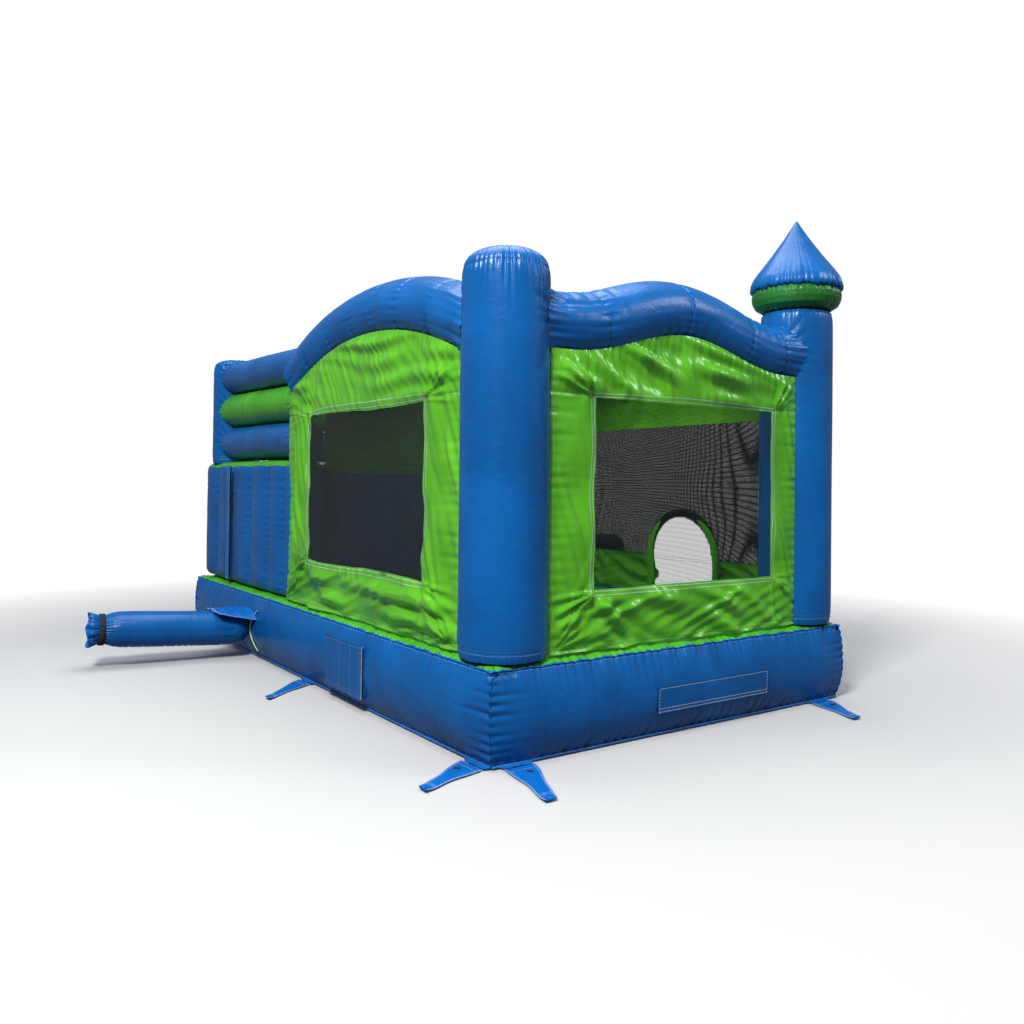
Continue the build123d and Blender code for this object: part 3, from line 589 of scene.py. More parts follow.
def arch(name, node, line, across, rings, seed, meets=(True, True)):
    """A bent tube between two columns. rings are the places, as shares of its length, where pieces are sewn.
    meets says which ends run into a column, whose round face then sets the joint line."""
    whole = along(line)[-1]
    line = resample(line, np.linspace(0, whole, int(whole / 0.0095)))
    s = along(line)[:, None]
    ahead = unit(np.gradient(line, axis=0))
    bend = np.linalg.norm(np.gradient(ahead, axis=0), axis=1) / np.gradient(s[:, 0])
    inside = unit(np.gradient(ahead, axis=0) + 1e-12)
    a = np.linspace(0, 2 * PI, 112, endpoint=False)
    joint = (np.sqrt(COLUMN**2 - (ARCH * np.cos(a)) ** 2) - math.sqrt(COLUMN**2 - ARCH**2))[None]
    first, last = s - joint * meets[0], s[-1] - s - joint * meets[1]
    end = np.maximum(np.minimum(first, last), 0)
    r = ARCH + 0.010 * np.exp(-end / 0.03) - 0.006 * np.exp(-(((end - 0.13) / 0.08) ** 2))
    for share in rings:
        r = r - 0.009 * np.exp(-(((s - share * s[-1]) / 0.013) ** 2))
    p, out, a = tube_points(line, r, across)
    arc = a[None] * ARCH
    depth = pucker(arc, end, 0.058, 0.024, 0.12, seed) + pucker(arc, end, 0.15, 0.02, 0.28, seed + 1)
    for k, share in enumerate(rings):
        depth = depth + pucker(arc, s - share * s[-1], 0.05, 0.011, 0.07, seed + 2 + k)
    inner = np.clip((out * inside[:, None]).sum(-1), 0, 1) ** 1.2 * np.clip(bend / 0.9, 0, 1.3)[:, None]
    fold = pucker(s + 0.05 * noise(a * 2, 0, seed) + 3 + 0 * arc, 0 * arc, 0.12, 0.03, 1.0, seed + 9)
    depth = depth + inner * fold + 0.001 * crinkle(s, arc, 0.3, seed)
    depth = depth + 0.007 * (noise(s / 0.4, a * 1.5, seed) - 0.5)
    p = relief(p, depth, (False, True), out)[0]
    for k, away, closed in ((0, -ahead[0], meets[0]), (-1, ahead[-1], meets[1])):
        if not closed:
            middle = p[k].mean(0)
            cap = [middle + (p[k] - middle) * share + away * swell for share, swell in CAP]
            p = np.concatenate([p, cap] if k else [cap[::-1], p])
    inflated(name, p, grid_quads(len(p), len(a), (False, True)), BLUE, node)


y = np.linspace(-1.307, 1.307, 300)
arch("end_arch", "arch_end", np.c_[0 * y + END_X, y, bell(y)], (-1, 0, 0), [0.085, 0.24, 0.5, 0.8], 21)
y = np.linspace(-1.307, 1.212, 300)
line = np.c_[0 * y + MIDDLE_X, y, middle_height(y)]
arch("middle_arch", "arch_middle", line, (1, 0, 0), [0.25, 0.55, 0.8], 22, (True, False))
x = np.linspace(-2.657, 0.466, 340)
line = np.c_[x, 0 * x + ROW_Y, long_height(x)]
arch("rear_arch", "arch_rear", line, (0, 1, 0), [0.16, 0.31, 0.44, 0.56, 0.7, 0.86], 23, (True, False))
x = np.linspace(-2.657, 0.397, 340)
line = np.c_[x, 0 * x - ROW_Y, long_height(x)]
arch("front_arch", "arch_front", line, (0, -1, 0), [0.14, 0.3, 0.5, 0.7, 0.85], 24)


# ---------------------------------------------------------------- walls of the slide section


def straight_tube(start, end, radius, seed, closed_end=True):
    """A sewn tube, gathered where it is closed. radius is at its start and end."""
    start, end = np.array(start, float), np.array(end, float)
    length = np.linalg.norm(end - start)
    s = np.linspace(0, length, int(length / 0.009))
    extra = np.sin(np.linspace(0, PI / 2, 14))[:-1] * 0.05
    s = np.concatenate([extra * 0.9, s[s > 0.05]])
    if closed_end:
        s = np.concatenate([s[s < length - 0.05], length - extra[::-1] * 0.9])
    r = radius[0] + (radius[1] - radius[0]) * s / length
    radius = max(radius)
    for e in (s, length - s) if closed_end else (s,):
        u = np.clip(1 - e / 0.07, 0, 1)
        r = r * np.sqrt(np.clip(1 - u**2.2, 0, 1) * 0.92 + 0.08 * (1 - u))
    r[0], r[-1] = 0.002, 0.002 if closed_end else r[-1]
    line = start + (end - start) * (s / length)[:, None]
    p, out, a = tube_points(line, r, UP)
    arc, ss = a[None] * radius, s[:, None]
    depth = 0.0012 * crinkle(ss, arc, 0.3, seed) + 0.008 * (noise(ss / 0.35, a * 1.4, seed) - 0.5)
    for from_end, shift in ((ss, 0), (length - ss, 4)):
        depth = depth + pucker(arc, from_end, 0.05, 0.022, 0.10, seed + shift)
    depth = depth + 0.6 * pucker(ss + 2, np.abs(np.sin(a)) * radius, 0.16, 0.012, 0.3, seed + 8)
    for from_seam, shift in ((np.minimum(a, 2 * PI - a), 6), (np.abs(a - PI), 7)):
        depth = depth + pucker(ss, from_seam * radius, 0.07, 0.009, 0.05, seed + shift)
    p = relief(p, depth * np.clip(r / radius, 0, 1)[:, None], (False, True), out)[0]
    return p, grid_quads(len(s), len(a), (False, True))


def joined(parts):
    """Several grids as one, each given as its points and quads."""
    counts = np.cumsum([0] + [p.size // 3 for p, q in parts])
    quads = np.concatenate([q + count for (p, q), count in zip(parts, counts)])
    return np.concatenate([p.reshape(-1, 3) for p, q in parts]), quads


for tag, heights, radii, material, seed in (("low", (2.130, 2.146), (0.179, 0.187), BLUE, 31),
                                            ("middle", (2.488, 2.520), (0.180, 0.187), GREEN, 32),
                                            ("top", (2.842, 2.885), (0.176, 0.180), BLUE, 33)):
    z = heights[1]
    rear = straight_tube((0.472, 1.452, heights[0]), (2.66, 1.452, z), radii, seed, False)
    end = straight_tube((2.748, 0.102, z), (2.748, 1.2, z), (0.18, radii[1]), seed + 20, False)
    inflated("wall_tube_" + tag, *joined([rear, end]), material, "upper_tube_" + tag)


LOBES = np.array([0.30, 0.62, 1.02, 1.55, 2.08, 2.65, 3.12])


def gaps(value, places):
    return np.min(np.abs(value[..., None] - places), axis=-1)


def lobed(axis, places, depth):
    """Upright lobes between the inner webs, with a sharp valley at each seam."""

    def wrinkle(p, n):
        upright = 1 - n[:, 2] ** 2
        s, z = p[:, axis], p[:, 2]
        d = gaps(s, places)
        valley = -depth * np.exp(-((d / 0.1) ** 0.9)) + pucker(z, d, 0.07, 0.012, 0.07, 41)
        valley = valley + pucker(s, z.max() - z, 0.06, 0.014, 0.1, 42)
        valley = valley + pucker(s, z - z.min(), 0.06, 0.011, 0.08, 43)
        return valley * upright + 0.003 * crinkle(s, z, 0.25, 44)

    return wrinkle


def slope_to(line):
    """Scales heights above the base so that the top follows line, a list of (y, z)."""
    ys, zs = np.array(line, float).T

    def shape(p):
        top = np.interp(p[:, 1], ys, zs)
        q = p.copy()
        q[:, 2] = BASE_TOP + (p[:, 2] - BASE_TOP) * (top - BASE_TOP) / (p[:, 2].max() - BASE_TOP)
        return q

    return shape


def plain_folds(seed, depth=0.01):
    """Small gathers along every edge of a block."""

    def wrinkle(p, n):
        low, high = p.min(0), p.max(0)
        total = 0.003 * crinkle(p[:, 0] + p[:, 1], p[:, 2] + 0.4 * p[:, 1], 0.25, seed)
        for a in range(3):
            b, c = (a + 1) % 3, (a + 2) % 3
            for over, run, shift in ((b, c, 0), (c, b, 5)):
                edge = np.minimum(p[:, over] - low[over], high[over] - p[:, over])
                gathers = pucker(p[:, run] + seed, edge, 0.065, depth, 0.07, seed + shift + a)
                total = total + n[:, a] ** 2 * gathers
        return total

    return wrinkle


FLOOR_SEAMS = np.arange(-3, 4) * 0.4


def floor_folds(p, n):
    """Long lobes between the inner webs of the bounce floor."""
    d = gaps(p[:, 1], FLOOR_SEAMS)
    return np.clip(n[:, 2], 0, 1) * (pucker(p[:, 0], d, 0.08, 0.012, 0.06, 70) - 0.03 * np.exp(-d / 0.05))


puff("rear_low_wall", "lower_wall_rear", (0.365, 1.303, BASE_TOP), (3.088, 1.684, 1.93), 0.1, TWO_TONE, 0.012,
     lobed(0, LOBES, 0.05), step=0.0125)
puff("end_low_wall", "lower_wall_end", (2.702, -1.708, BASE_TOP), (3.089, 1.36, 1.93), 0.1, TWO_TONE, 0.012,
     lobed(1, np.array([-1.8, -1.2, -0.7, -0.2, 0.3, 0.8, 1.5]), 0.045),
     slope_to([(-1.71, 1.15), (0.0, 1.885), (0.1, 1.93), (1.3, 1.93)]), 0.017)
puff("front_low_wall", "lower_wall_front", (0.857, -1.708, BASE_TOP), (1.613, -1.402, 1.449), 0.09,
     TWO_TONE, 0.012, lobed(0, np.array([0.8, 1.235, 1.7]), 0.04), step=0.018)
puff("partition_wall", "partition", (0.432, -0.348, BASE_TOP), (0.688, 1.293, 1.849), 0.1, TWO_TONE, 0.01,
     plain_folds(51))
puff("divider_wall", "lane_divider", (1.622, -1.708, BASE_TOP), (1.798, 0.548, 1.9), 0.078, BLUE, 0.006,
     plain_folds(52), slope_to([(-1.71, 1.10), (0.3, 1.86), (0.36, 1.9), (0.56, 1.9)]))
puff("ramp", "climbing_ramp", (0.697, -0.948, BASE_TOP), (1.613, 0.548, 1.479), 0.05, TWO_TONE, 0.006,
     plain_folds(53), slope_to([(-0.95, 0.66), (0.5, 1.452), (0.55, 1.478)]), 0.022)
puff("top_platform", "platform", (0.697, 0.557, BASE_TOP), (2.693, 1.293, 1.479), 0.05, GREEN, 0.01,
     plain_folds(54), step=0.022)
puff("slide_block", "slide_bed", (1.807, -1.743, BASE_TOP), (2.693, 0.548, 1.479), 0.04, BLUE, 0.004,
     plain_folds(55, 0.006), slope_to([(-1.745, 0.664), (-1.45, 0.668), (0.5, 1.46), (0.55, 1.479)]), 0.022)
steps = zip(np.linspace(-0.717, 0.283, 5), np.linspace(0.8, 1.37, 5))
rolls = [straight_tube((0.757, y, z), (1.553, y, z), (0.036, 0.036), 60 + k)
         for k, (y, z) in enumerate(steps)]
inflated("climbing_rolls", *joined(rolls), GREEN, "climbing_steps")
for tag, x, seed in (("cabin", 0.472, 56), ("outer", 2.762, 57)):
    puff(f"bumper_{tag}_side", "landing_bumper_" + tag, (x, -2.648, 0.003), (x + 0.326, -1.768, 1.128), 0.13,
         TWO_TONE, 0.012, plain_folds(seed))
puff("pad", "landing_pad", (0.808, -2.598, 0.003), (2.752, -1.768, 0.3), 0.1, BLUE, 0.012, plain_folds(58))
puff("step_block", "entrance_step", (-1.848, -2.348, 0.003), (-0.892, -1.768, 0.3), 0.1, BLUE, 0.012,
     plain_folds(59), step=0.018)
puff("floor_top", "bounce_floor", (-2.478, -1.128, 0.05), (2.478, 1.128, 0.622), 0.02, GREEN, 0.0,
     floor_folds, step=0.022)


# ---------------------------------------------------------------- hanging wall sheets and nets


def spaced(marks, step):
    """Coordinates that include every mark, about a step apart."""
    pairs = zip(marks[:-1], marks[1:])
    parts = [np.linspace(a, b, max(3, int(round((b - a) / step)) + 1))[:-1] for a, b in pairs]
    return np.concatenate(parts + [[marks[-1]]])


WINDOW = (1.03, 2.315)
FOOT = 0.637
UNDER_ARCH = 0.172
WALL_STEP = 0.0125


def faces(n, facing):
    """Normals, all turned to the side that a sheet faces."""
    return n * np.where((n * facing).sum(-1, keepdims=True) < 0, -1.0, 1.0)


def wall_sheet(side, sides, window, height, place, facing, seed, door=None, lean=0.35, sweep=0.5, slack=0.01):
    """A sheet that hangs between columns below an arch, with its window cut out. height(s) is the arch's
    middle line, and place(s, z) puts the sheet on its side of the house."""
    facing = np.array(facing, float)
    s = spaced([sides[0], window[0], window[1], sides[1]], WALL_STEP)
    low, high = spaced([FOOT, WINDOW[0]], WALL_STEP), spaced(WINDOW, WALL_STEP)
    over_window = np.linspace(0, 1, 34)[1:] * (height(s) - UNDER_ARCH - WINDOW[1])[:, None]
    z = np.concatenate([np.tile(np.r_[low, high[1:]], (len(s), 1)), WINDOW[1] + over_window], axis=1)
    ss = np.broadcast_to(s[:, None], z.shape)
    hem, crown = z - FOOT, height(ss) - UNDER_ARCH - z
    edge = np.minimum(ss - sides[0], sides[1] - ss)
    dx = np.maximum(np.maximum(window[0] - ss, ss - window[1]), 0)
    dz = np.maximum(np.maximum(WINDOW[0] - z, z - WINDOW[1]), 0)
    from_window = np.hypot(dx, dz)
    folds = 0.014 * crinkle(ss + 0.25 * z, 1.2 * z, 0.5, seed, 1) + 0.0015 * crinkle(ss, z, 0.15, seed + 4)
    folds = folds + 0.03 * (noise(ss / 0.5, z / 0.28, seed + 8) - 0.45)
    for x, y, angle, size in ((window[0], WINDOW[1], 140, 0.05), (window[1], WINDOW[1], 40, 0.05),
                              (window[0], WINDOW[0], 218, 0.055), (window[1], WINDOW[0], -38, 0.055)):
        folds = folds + fan(ss, z, (x, y), math.radians(angle), 1.0, 7, size, 0.55, seed + angle)
    for x, angle in zip(sides, (30, 150)):
        folds = folds + fan(ss, z, (x, FOOT), math.radians(angle), 0.6, 5, 0.05, 1.3, seed + angle)
    lower, upper = np.clip((WINDOW[0] - z) / 0.1, 0, 1), np.clip((z - WINDOW[1]) / 0.1, 0, 1)
    for share, size, angle, length, width, shift in (
        (lower, 0.060, sweep, 0.7, 0.15, 50), (lower, 0.014, -0.35, 0.6, 0.09, 52),
        (upper, 0.046, lean, 0.9, 0.17, 51), (upper, 0.010, lean + 0.8, 0.6, 0.08, 53),
        ((1 - lower) * (1 - upper), 0.022, 1.2, 0.7, 0.11, 54),
    ):
        folds = folds + share * size * drape(ss, z, angle, length, width, seed + shift)
    middle = (sides[0] + sides[1]) / 2
    centre = (middle, height(middle) - UNDER_ARCH + 0.9)
    folds = folds + fan(ss, z, centre, math.radians(-90), 0.9, 9, 0.014, 2.0, seed + 31)
    hold = (1 - np.exp(-edge / 0.09)) * (1 - 0.85 * np.exp(-crown / 0.07))
    hold = hold * (1 - 0.8 * np.exp(-from_window / 0.045))
    depth = folds * hold + pucker(z, edge, 0.07, 0.012, 0.12, seed + 12)
    depth = depth + pucker(ss + 7, crown, 0.065, 0.013, 0.12, seed + 13)
    waves = np.sin(ss * 14 + 3 * noise(ss * 3, 0, seed))
    depth = depth + 0.014 * (1 - np.exp(-hem / 0.02)) * np.exp(-hem / 0.12) * waves
    depth = depth - 0.006 * np.exp(-(((z - WINDOW[1] - 0.012) / 0.008) ** 2)) * (dx > 0)
    depth = np.clip(depth, -0.05, 0.075)
    left, right = np.exp(-np.abs(ss - window[0]) / 0.07), np.exp(-np.abs(ss - window[1]) / 0.07)
    under, over = np.exp(-np.abs(z - WINDOW[0]) / 0.07), np.exp(-np.abs(z - WINDOW[1]) / 0.07)
    pull_s = slack * noise(z / 0.17, ss * 0, seed + 60) * (left - right) * np.exp(-dz / 0.07)
    pull_z = 0.6 * slack * noise(ss / 0.3, 3.0, seed + 61) * (under - over) * np.exp(-dx / 0.07)
    p = place(ss + pull_s, z + pull_z) + facing * depth[..., None]
    n = faces(normals(p), facing)
    mid_s, mid_z = (ss[1:, 1:] + ss[:-1, :-1]) / 2, (z[1:, 1:] + z[:-1, :-1]) / 2
    hole = (mid_s > window[0]) & (mid_s < window[1]) & (mid_z > WINDOW[0]) & (mid_z < WINDOW[1])
    if door is not None:
        hole = hole | door(mid_s, mid_z)
    cells = grid_quads(*z.shape)[~hole.ravel()]
    name = side + "_sheet"
    piece = build(name, p, cells, GREEN_SHEET, "panel_" + side)
    i0, i1 = (int(np.argmin(np.abs(s - w))) for w in window)
    j0, j1 = len(low) - 1, len(low) + len(high) - 2
    round_window = []
    for k in (1, 3):
        left, right, under, over = i0 - k, i1 + k, j0 - k, j1 + k
        loop = [(i, under) for i in range(left, right)] + [(right, j) for j in range(under, over)]
        loop += [(i, over) for i in range(right, left, -1)] + [(left, j) for j in range(over, under, -1)]
        loop = np.array([at for at in loop if door is None or not door(ss[at], z[at] - 0.03)])
        round_window.append((p[loop[:, 0], loop[:, 1]], n[loop[:, 0], loop[:, 1]]))
    lines = [np.s_[:, 1], np.s_[:, 3], np.s_[: i0 - 3, j1 + 1], np.s_[i1 + 4 :, j1 + 1], np.s_[2], np.s_[-3]]
    thread = stitches(name + "_stitches", round_window, THREAD, width=0.0045, stitch=0.012, gap=0.005)
    seams = stitches(name + "_seams", [(p[k], n[k]) for k in lines], GREEN_THREAD, width=0.003)


def window_net(side, window, place, facing, seed, width, door=None):
    """Woven net as crossing flat threads, slightly slack. width is a thread's."""
    facing = np.array(facing, float)
    pitch = 0.009
    points, laid = [], 0.0

    def where(s, z):
        t = np.clip((s - window[0]) / (window[1] - window[0]), 0, 1)
        u = np.clip((z - WINDOW[0]) / (WINDOW[1] - WINDOW[0]), 0, 1)
        slack = (0.03 + 0.012 * noise(s * 3, z * 3, seed)) * np.sin(PI * t) * np.sin(PI * u)
        return place(s, z) - facing * slack[..., None]

    for along_z, over, (a, b) in ((False, WINDOW, window), (True, window, WINDOW)):
        m = np.linspace(a, b, 15 if door is None else 90)
        for t in np.arange(over[0] + pitch / 2, over[1], pitch):
            edges = []
            for offset in (-0.5, 0.5):
                q = 0 * m + t + offset * width
                edges.append((where(q, m) if along_z else where(m, q)) + facing * 0.001 * along_z)
            middles = (m[1:] + m[:-1]) / 2
            keep = np.ones(len(middles), bool)
            if door is not None:
                keep = ~(door(t, middles) if along_z else door(middles, t))
            points.append(np.stack([edges[0][:-1], edges[1][:-1], edges[1][1:], edges[0][1:]], 1)[keep])
            laid += width * (b - a) * keep.mean()
    points = np.concatenate(points)
    piece = build(side + "_net", points, np.arange(len(points) * 4), NET, "net_" + side)


SHEET_X, SHEET_Y = 3.0, 1.65


def on_end(s, z):
    return np.stack([0 * s - SHEET_X, s, z], -1)


def on_rear(s, z):
    return np.stack([s, 0 * s + SHEET_Y, z], -1)


def on_front(s, z):
    return np.stack([s, 0 * s - SHEET_Y, z], -1)


DOOR_X, DOOR_Z, DOOR_RADIUS = -1.37, 1.035, 0.385
BAND_RADIUS = 0.432


def door(s, z):
    """Whether points lie in the doorway of the front wall."""
    u, v = np.asarray(s) - DOOR_X, np.asarray(z) - DOOR_Z
    return ((np.abs(u) < DOOR_RADIUS) & (v < 0)) | (np.hypot(u, v) < DOOR_RADIUS)


END_WINDOW, REAR_WINDOW, FRONT_WINDOW = (-0.94, 0.865), (-2.12, -0.02), (-2.39, 0.13)
wall_sheet("end", (-1.237, 1.237), END_WINDOW, bell, on_end, (-1, 0, 0), 81)
wall_sheet("rear", (-2.587, 0.467), REAR_WINDOW, long_height, on_rear, (0, 1, 0), 85,
           lean=0.12, sweep=0.06, slack=0.05)
wall_sheet("front", (-2.587, 0.327), FRONT_WINDOW, long_height, on_front, (0, -1, 0), 89, door)
# the nets' black thread is their own colour; the rear and front nets get wider threads than the end net, so
# those windows read near-black as painted shade for the dark inside behind them
window_net("end", END_WINDOW, on_end, (-1, 0, 0), 91, 0.0024)
window_net("rear", REAR_WINDOW, on_rear, (0, 1, 0), 92, 0.0061)
window_net("front", FRONT_WINDOW, on_front, (0, -1, 0), 93, 0.0067, door)


def patch(low, high, count):
    """A grid of two coordinates, from low to high."""
    return np.meshgrid(*(np.linspace(a, b, k) for a, b, k in zip(low, high, count)), indexing="ij")


# the sheet that closes the wall over the partition
foot, below_line = 1.83, 0.26
u, v = patch((-1.18, 0), (1.25, 1), (150, 60))
z = foot + v * (middle_height(u) - below_line - foot)
swell = 0.012 * crinkle(u, z, 0.4, 95) + 0.02 * (noise(u * 3, z * 2.5, 96) - 0.5)
swell = swell + 0.006 * np.sin(u * 12) * np.exp(-(z - 1.86) / 0.2)
edge = np.minimum(np.minimum(u + 1.18, 1.25 - u), (1 - v) * 0.85)
points = np.stack([MIDDLE_X + swell * (1 - np.exp(-edge / 0.08)), u, z], -1)
sheet = build("middle_sheet", points, grid_quads(*u.shape), GREEN_SHEET, "panel_middle")

# the padded band round the doorway
t, upright = np.linspace(0, PI, 90), np.linspace(0.665, 1.03, 30)
x = DOOR_X + BAND_RADIUS * np.concatenate([np.full(30, -1.0), -np.cos(t), np.full(30, 1.0)])
line = on_front(x, np.concatenate([upright, DOOR_Z + BAND_RADIUS * np.sin(t), upright[::-1]]))
p, out, a = tube_points(line, 0.04, (0, -1, 0), 40)
s = along(line)[:, None]
depth = pucker(s + 2, np.abs(a - PI / 2) * 0.045, 0.05, 0.012, 0.05, 95)
p = p + out * (depth + pucker(s, np.abs(a - 1.5 * PI) * 0.045, 0.05, 0.01, 0.05, 96))[..., None]
p[..., 1] = (p[..., 1] + SHEET_Y) * 0.65 - SHEET_Y
inflated("doorway_roll", p, grid_quads(len(line), 40, (False, True)), GREEN, "doorway_band")

# the roof sheet: hung from the arches, sagging a little between its ties
u, v = patch((-2.57, -1.225), (0.31, 1.225), (150, 120))
tu, tv = (u + 1.13) / 1.44, v / 1.225
z = 2.80 + 0.185 * (1 - tu**2) ** 0.8 * (1 - 0.25 * tv**2) - 0.012
z = z + 0.012 * crinkle(u, v, 0.5, 97) * (1 - tu**4) + pucker(v, 1.44 - np.abs(u + 1.13), 0.3, 0.02, 0.25, 98)
points = np.stack([u, v, np.clip(z, 2.79, 2.989)], -1)
roof = build("roof_sheet", points, grid_quads(*u.shape), GREEN_SHEET, "bounce_roof")

# the slip cover of the slide
u, v = patch((1.837, -1.743), (2.663, 0.548), (60, 170))
z = np.interp(v, [-1.745, -1.45, 0.5, 0.55], [0.673, 0.677, 1.471, 1.489])
z = z + 0.004 * crinkle(u, v, 0.2, 99) * np.clip((v + 1.7) / 0.2, 0, 1) * np.clip((0.5 - v) / 0.2, 0, 1)
cover = build("slide_slip_cover", np.stack([u, v, z], -1), grid_quads(*u.shape), GREEN_SHEET, "slide_cover")


# ---------------------------------------------------------------- blower sleeve and its flap

ROOT = np.array([1.17, 1.925, 0.288])
AXIS = unit(np.array([0.088, 0.994, 0.056]))
# how far along the axis the tie and the mouth lie
TIE, MOUTH = 1.178, 1.279
SLEEVE_RADIUS = 0.165
# the sleeve's radius at distances along its axis
PROFILE = np.array([(-0.163, 0.004), (-0.158, 0.045), (-0.14, 0.087), (-0.105, 0.127), (-0.06, 0.154),
                    (0.0, 0.164), (0.12, 0.166), (0.5, 0.164), (0.9, 0.165), (1.02, 0.163), (1.08, 0.155),
                    (1.13, 0.137), (1.15, 0.129), (TIE, 0.127), (1.20, 0.129), (1.22, 0.139), (1.245, 0.15),
                    (MOUTH, 0.154)])
far = np.concatenate([np.linspace(-0.163, 0.0, 26)[:-1], np.linspace(0, MOUTH, 165)])
r = np.interp(far, *PROFILE.T)
r[2:-2] = (r[:-4] + r[1:-3] + r[2:-2] + r[3:-1] + r[4:]) / 5
p, out, a = tube_points(ROOT + AXIS * far[:, None], r, unit(np.cross(AXIS, UP)), 160)
arc, t = a[None] * SLEEVE_RADIUS, far[:, None]
depth = pucker(arc, t - TIE, 0.033, 0.026, 0.09, 101)
depth = depth + pucker(arc, t - 0.02, 0.07, 0.012, 0.12, 102) * (t > 0)
depth = depth + 0.0015 * crinkle(t, arc, 0.3, 103) * np.clip(t / 0.15, 0, 1)
depth = depth + 0.006 * (noise(t / 0.5, a * 1.2, 104) - 0.5)
from_top = np.abs(np.sin(a) - 1)[None] * SLEEVE_RADIUS
depth = depth + 0.8 * pucker(t + 3, from_top, 0.06, 0.008, 0.14, 105) * np.clip(t / 0.1, 0, 1)
depth = depth + 0.012 * np.sin(a * 9 + 2 * np.sin(a * 2)) * np.clip((t - 1.2) / 0.08, 0, 1)
p, n = relief(p, depth * np.clip(r / SLEEVE_RADIUS, 0, 1)[:, None], (False, True), out)
p[-1] = p[-1] + AXIS * (0.010 * np.sin(5 * a + 1) + 0.006)[:, None]
inflated("sleeve_tube", p, grid_quads(len(far), len(a), (False, True)), BLUE, "blower_sleeve", "sleeve")
inner = [ROOT + AXIS * at + (p[k] - ROOT - AXIS * far[k]) * share
         for at, k, share in ((1.2, -6, 0.86), (1.188, -18, 0.1))]
build("sleeve_mouth", [p[-1], *inner], grid_quads(3, len(a), (False, True)), BLUE_SHEET, body="sleeve")
lines = [(ring_of(p[-3]), ring_of(n[-3])), (p[:, 20], n[:, 20])]
stitches("sleeve_end_stitches", lines, PALE_THREAD, "sleeve")

k = int(np.argmin(np.abs(far - TIE)))
pleat = 0.136 + 0.004 * np.abs(np.sin(a * 17 + 2 * np.sin(3 * a)))
loops = []
for shift in (-0.026, 0.02):
    middle = ROOT + AXIS * (TIE + shift)
    loops.append(middle + unit(p[k] + AXIS * shift + n[k] * 0.003 - middle) * pleat[:, None])
outer = [loop + unit(loop - ROOT - AXIS * at) * 0.004 for loop, at in zip(loops, (1.166, 1.19))]
tie = [loops[0], *outer, loops[1]]
build("tie_strap", tie, grid_quads(4, len(a), (True, True)), STRAP, "sleeve_tie", "sleeve")


def sheet_shell(top, thick, facing):
    """A thin closed shell from a grid of points: its top, its underside and its rim."""
    nu, nv = top.shape[:2]
    count = nu * nv
    edge = [i * nv for i in range(nu)] + [(nu - 1) * nv + j for j in range(1, nv)]
    edge += [i * nv + nv - 1 for i in range(nu - 2, -1, -1)] + [j for j in range(nv - 2, 0, -1)]
    rim = [[a, b, b + count, a + count] for a, b in zip(edge, edge[1:] + edge[:1])]
    quads = np.concatenate([grid_quads(nu, nv), grid_quads(nu, nv)[:, ::-1] + count, rim])
    return np.concatenate([top.reshape(-1, 3), (top - np.array(facing) * thick).reshape(-1, 3)]), quads


def flap(name, node, body, top, facing, material, rows, thread, stitching=None, with_pieces=(), **facts):
    points, quads = sheet_shell(top, 0.0016, facing)
    piece = build(name, points, quads, material, node, body)
    lines = [(line, facing) for line in rows]
    seams = stitches(name.replace("_sheet", "") + "_stitches", lines, thread, body, **(stitching or {}))


t = np.linspace(-1, 1, 60)
line = np.stack([1.055 - 0.175 * t**2, 0 * t, 0.285 + 0.195 * t], -1)
line[:, 1] = BASE_Y + belly(line[:, 2], 2.0) + 0.002
round_line("sleeve_collar_piping", line, 0.006, GREEN_THREAD)

u, v = patch((-1, 0), (1, 1), (90, 60))
off = u * (0.30 - 0.085 * v)
z = 0.474 - 0.09 * np.clip((np.abs(off) - 0.10) / 0.2, 0, 1) ** 1.5 * (1 - 0.2 * v)
z = z + 0.010 * np.sin(u * 7 + v * 2) * np.clip(v * 2, 0, 1)
z = z + 0.007 * crinkle((1.19 + off) * 1.2, v * 0.4, 0.13, 111)
top = np.stack([1.19 + off, 1.782 + 0.356 * v - 0.02 * v * u**2, np.maximum(z, 0.35) + 0.002], -1)
edge = np.concatenate([top[0], top[:, -1], top[-1][::-1]])
# the flap's rolled edge is real; its pale colour is a painted highlight
round_line("root_flap_edge", edge, 0.003, EDGE_HIGHLIGHT, "sleeve_cover", turns=8)
rows = [np.concatenate([top[k, :-k], top[k:-k, -k - 1], top[-k - 1, :-k][::-1]]) for k in (2, 4)]
flap("root_flap", "sleeve_flap", "sleeve_cover", top, UP, BLUE_SHEET, rows, THREAD, dict(width=0.003),
     ["root_flap_edge"], flat=(0.62, 0.37), held="draped", rests_on=["blower_sleeve"], area=0.2)


# ---------------------------------------------------------------- pouch, label pocket and zipper

REAR = np.array([0, 1.0, 0])

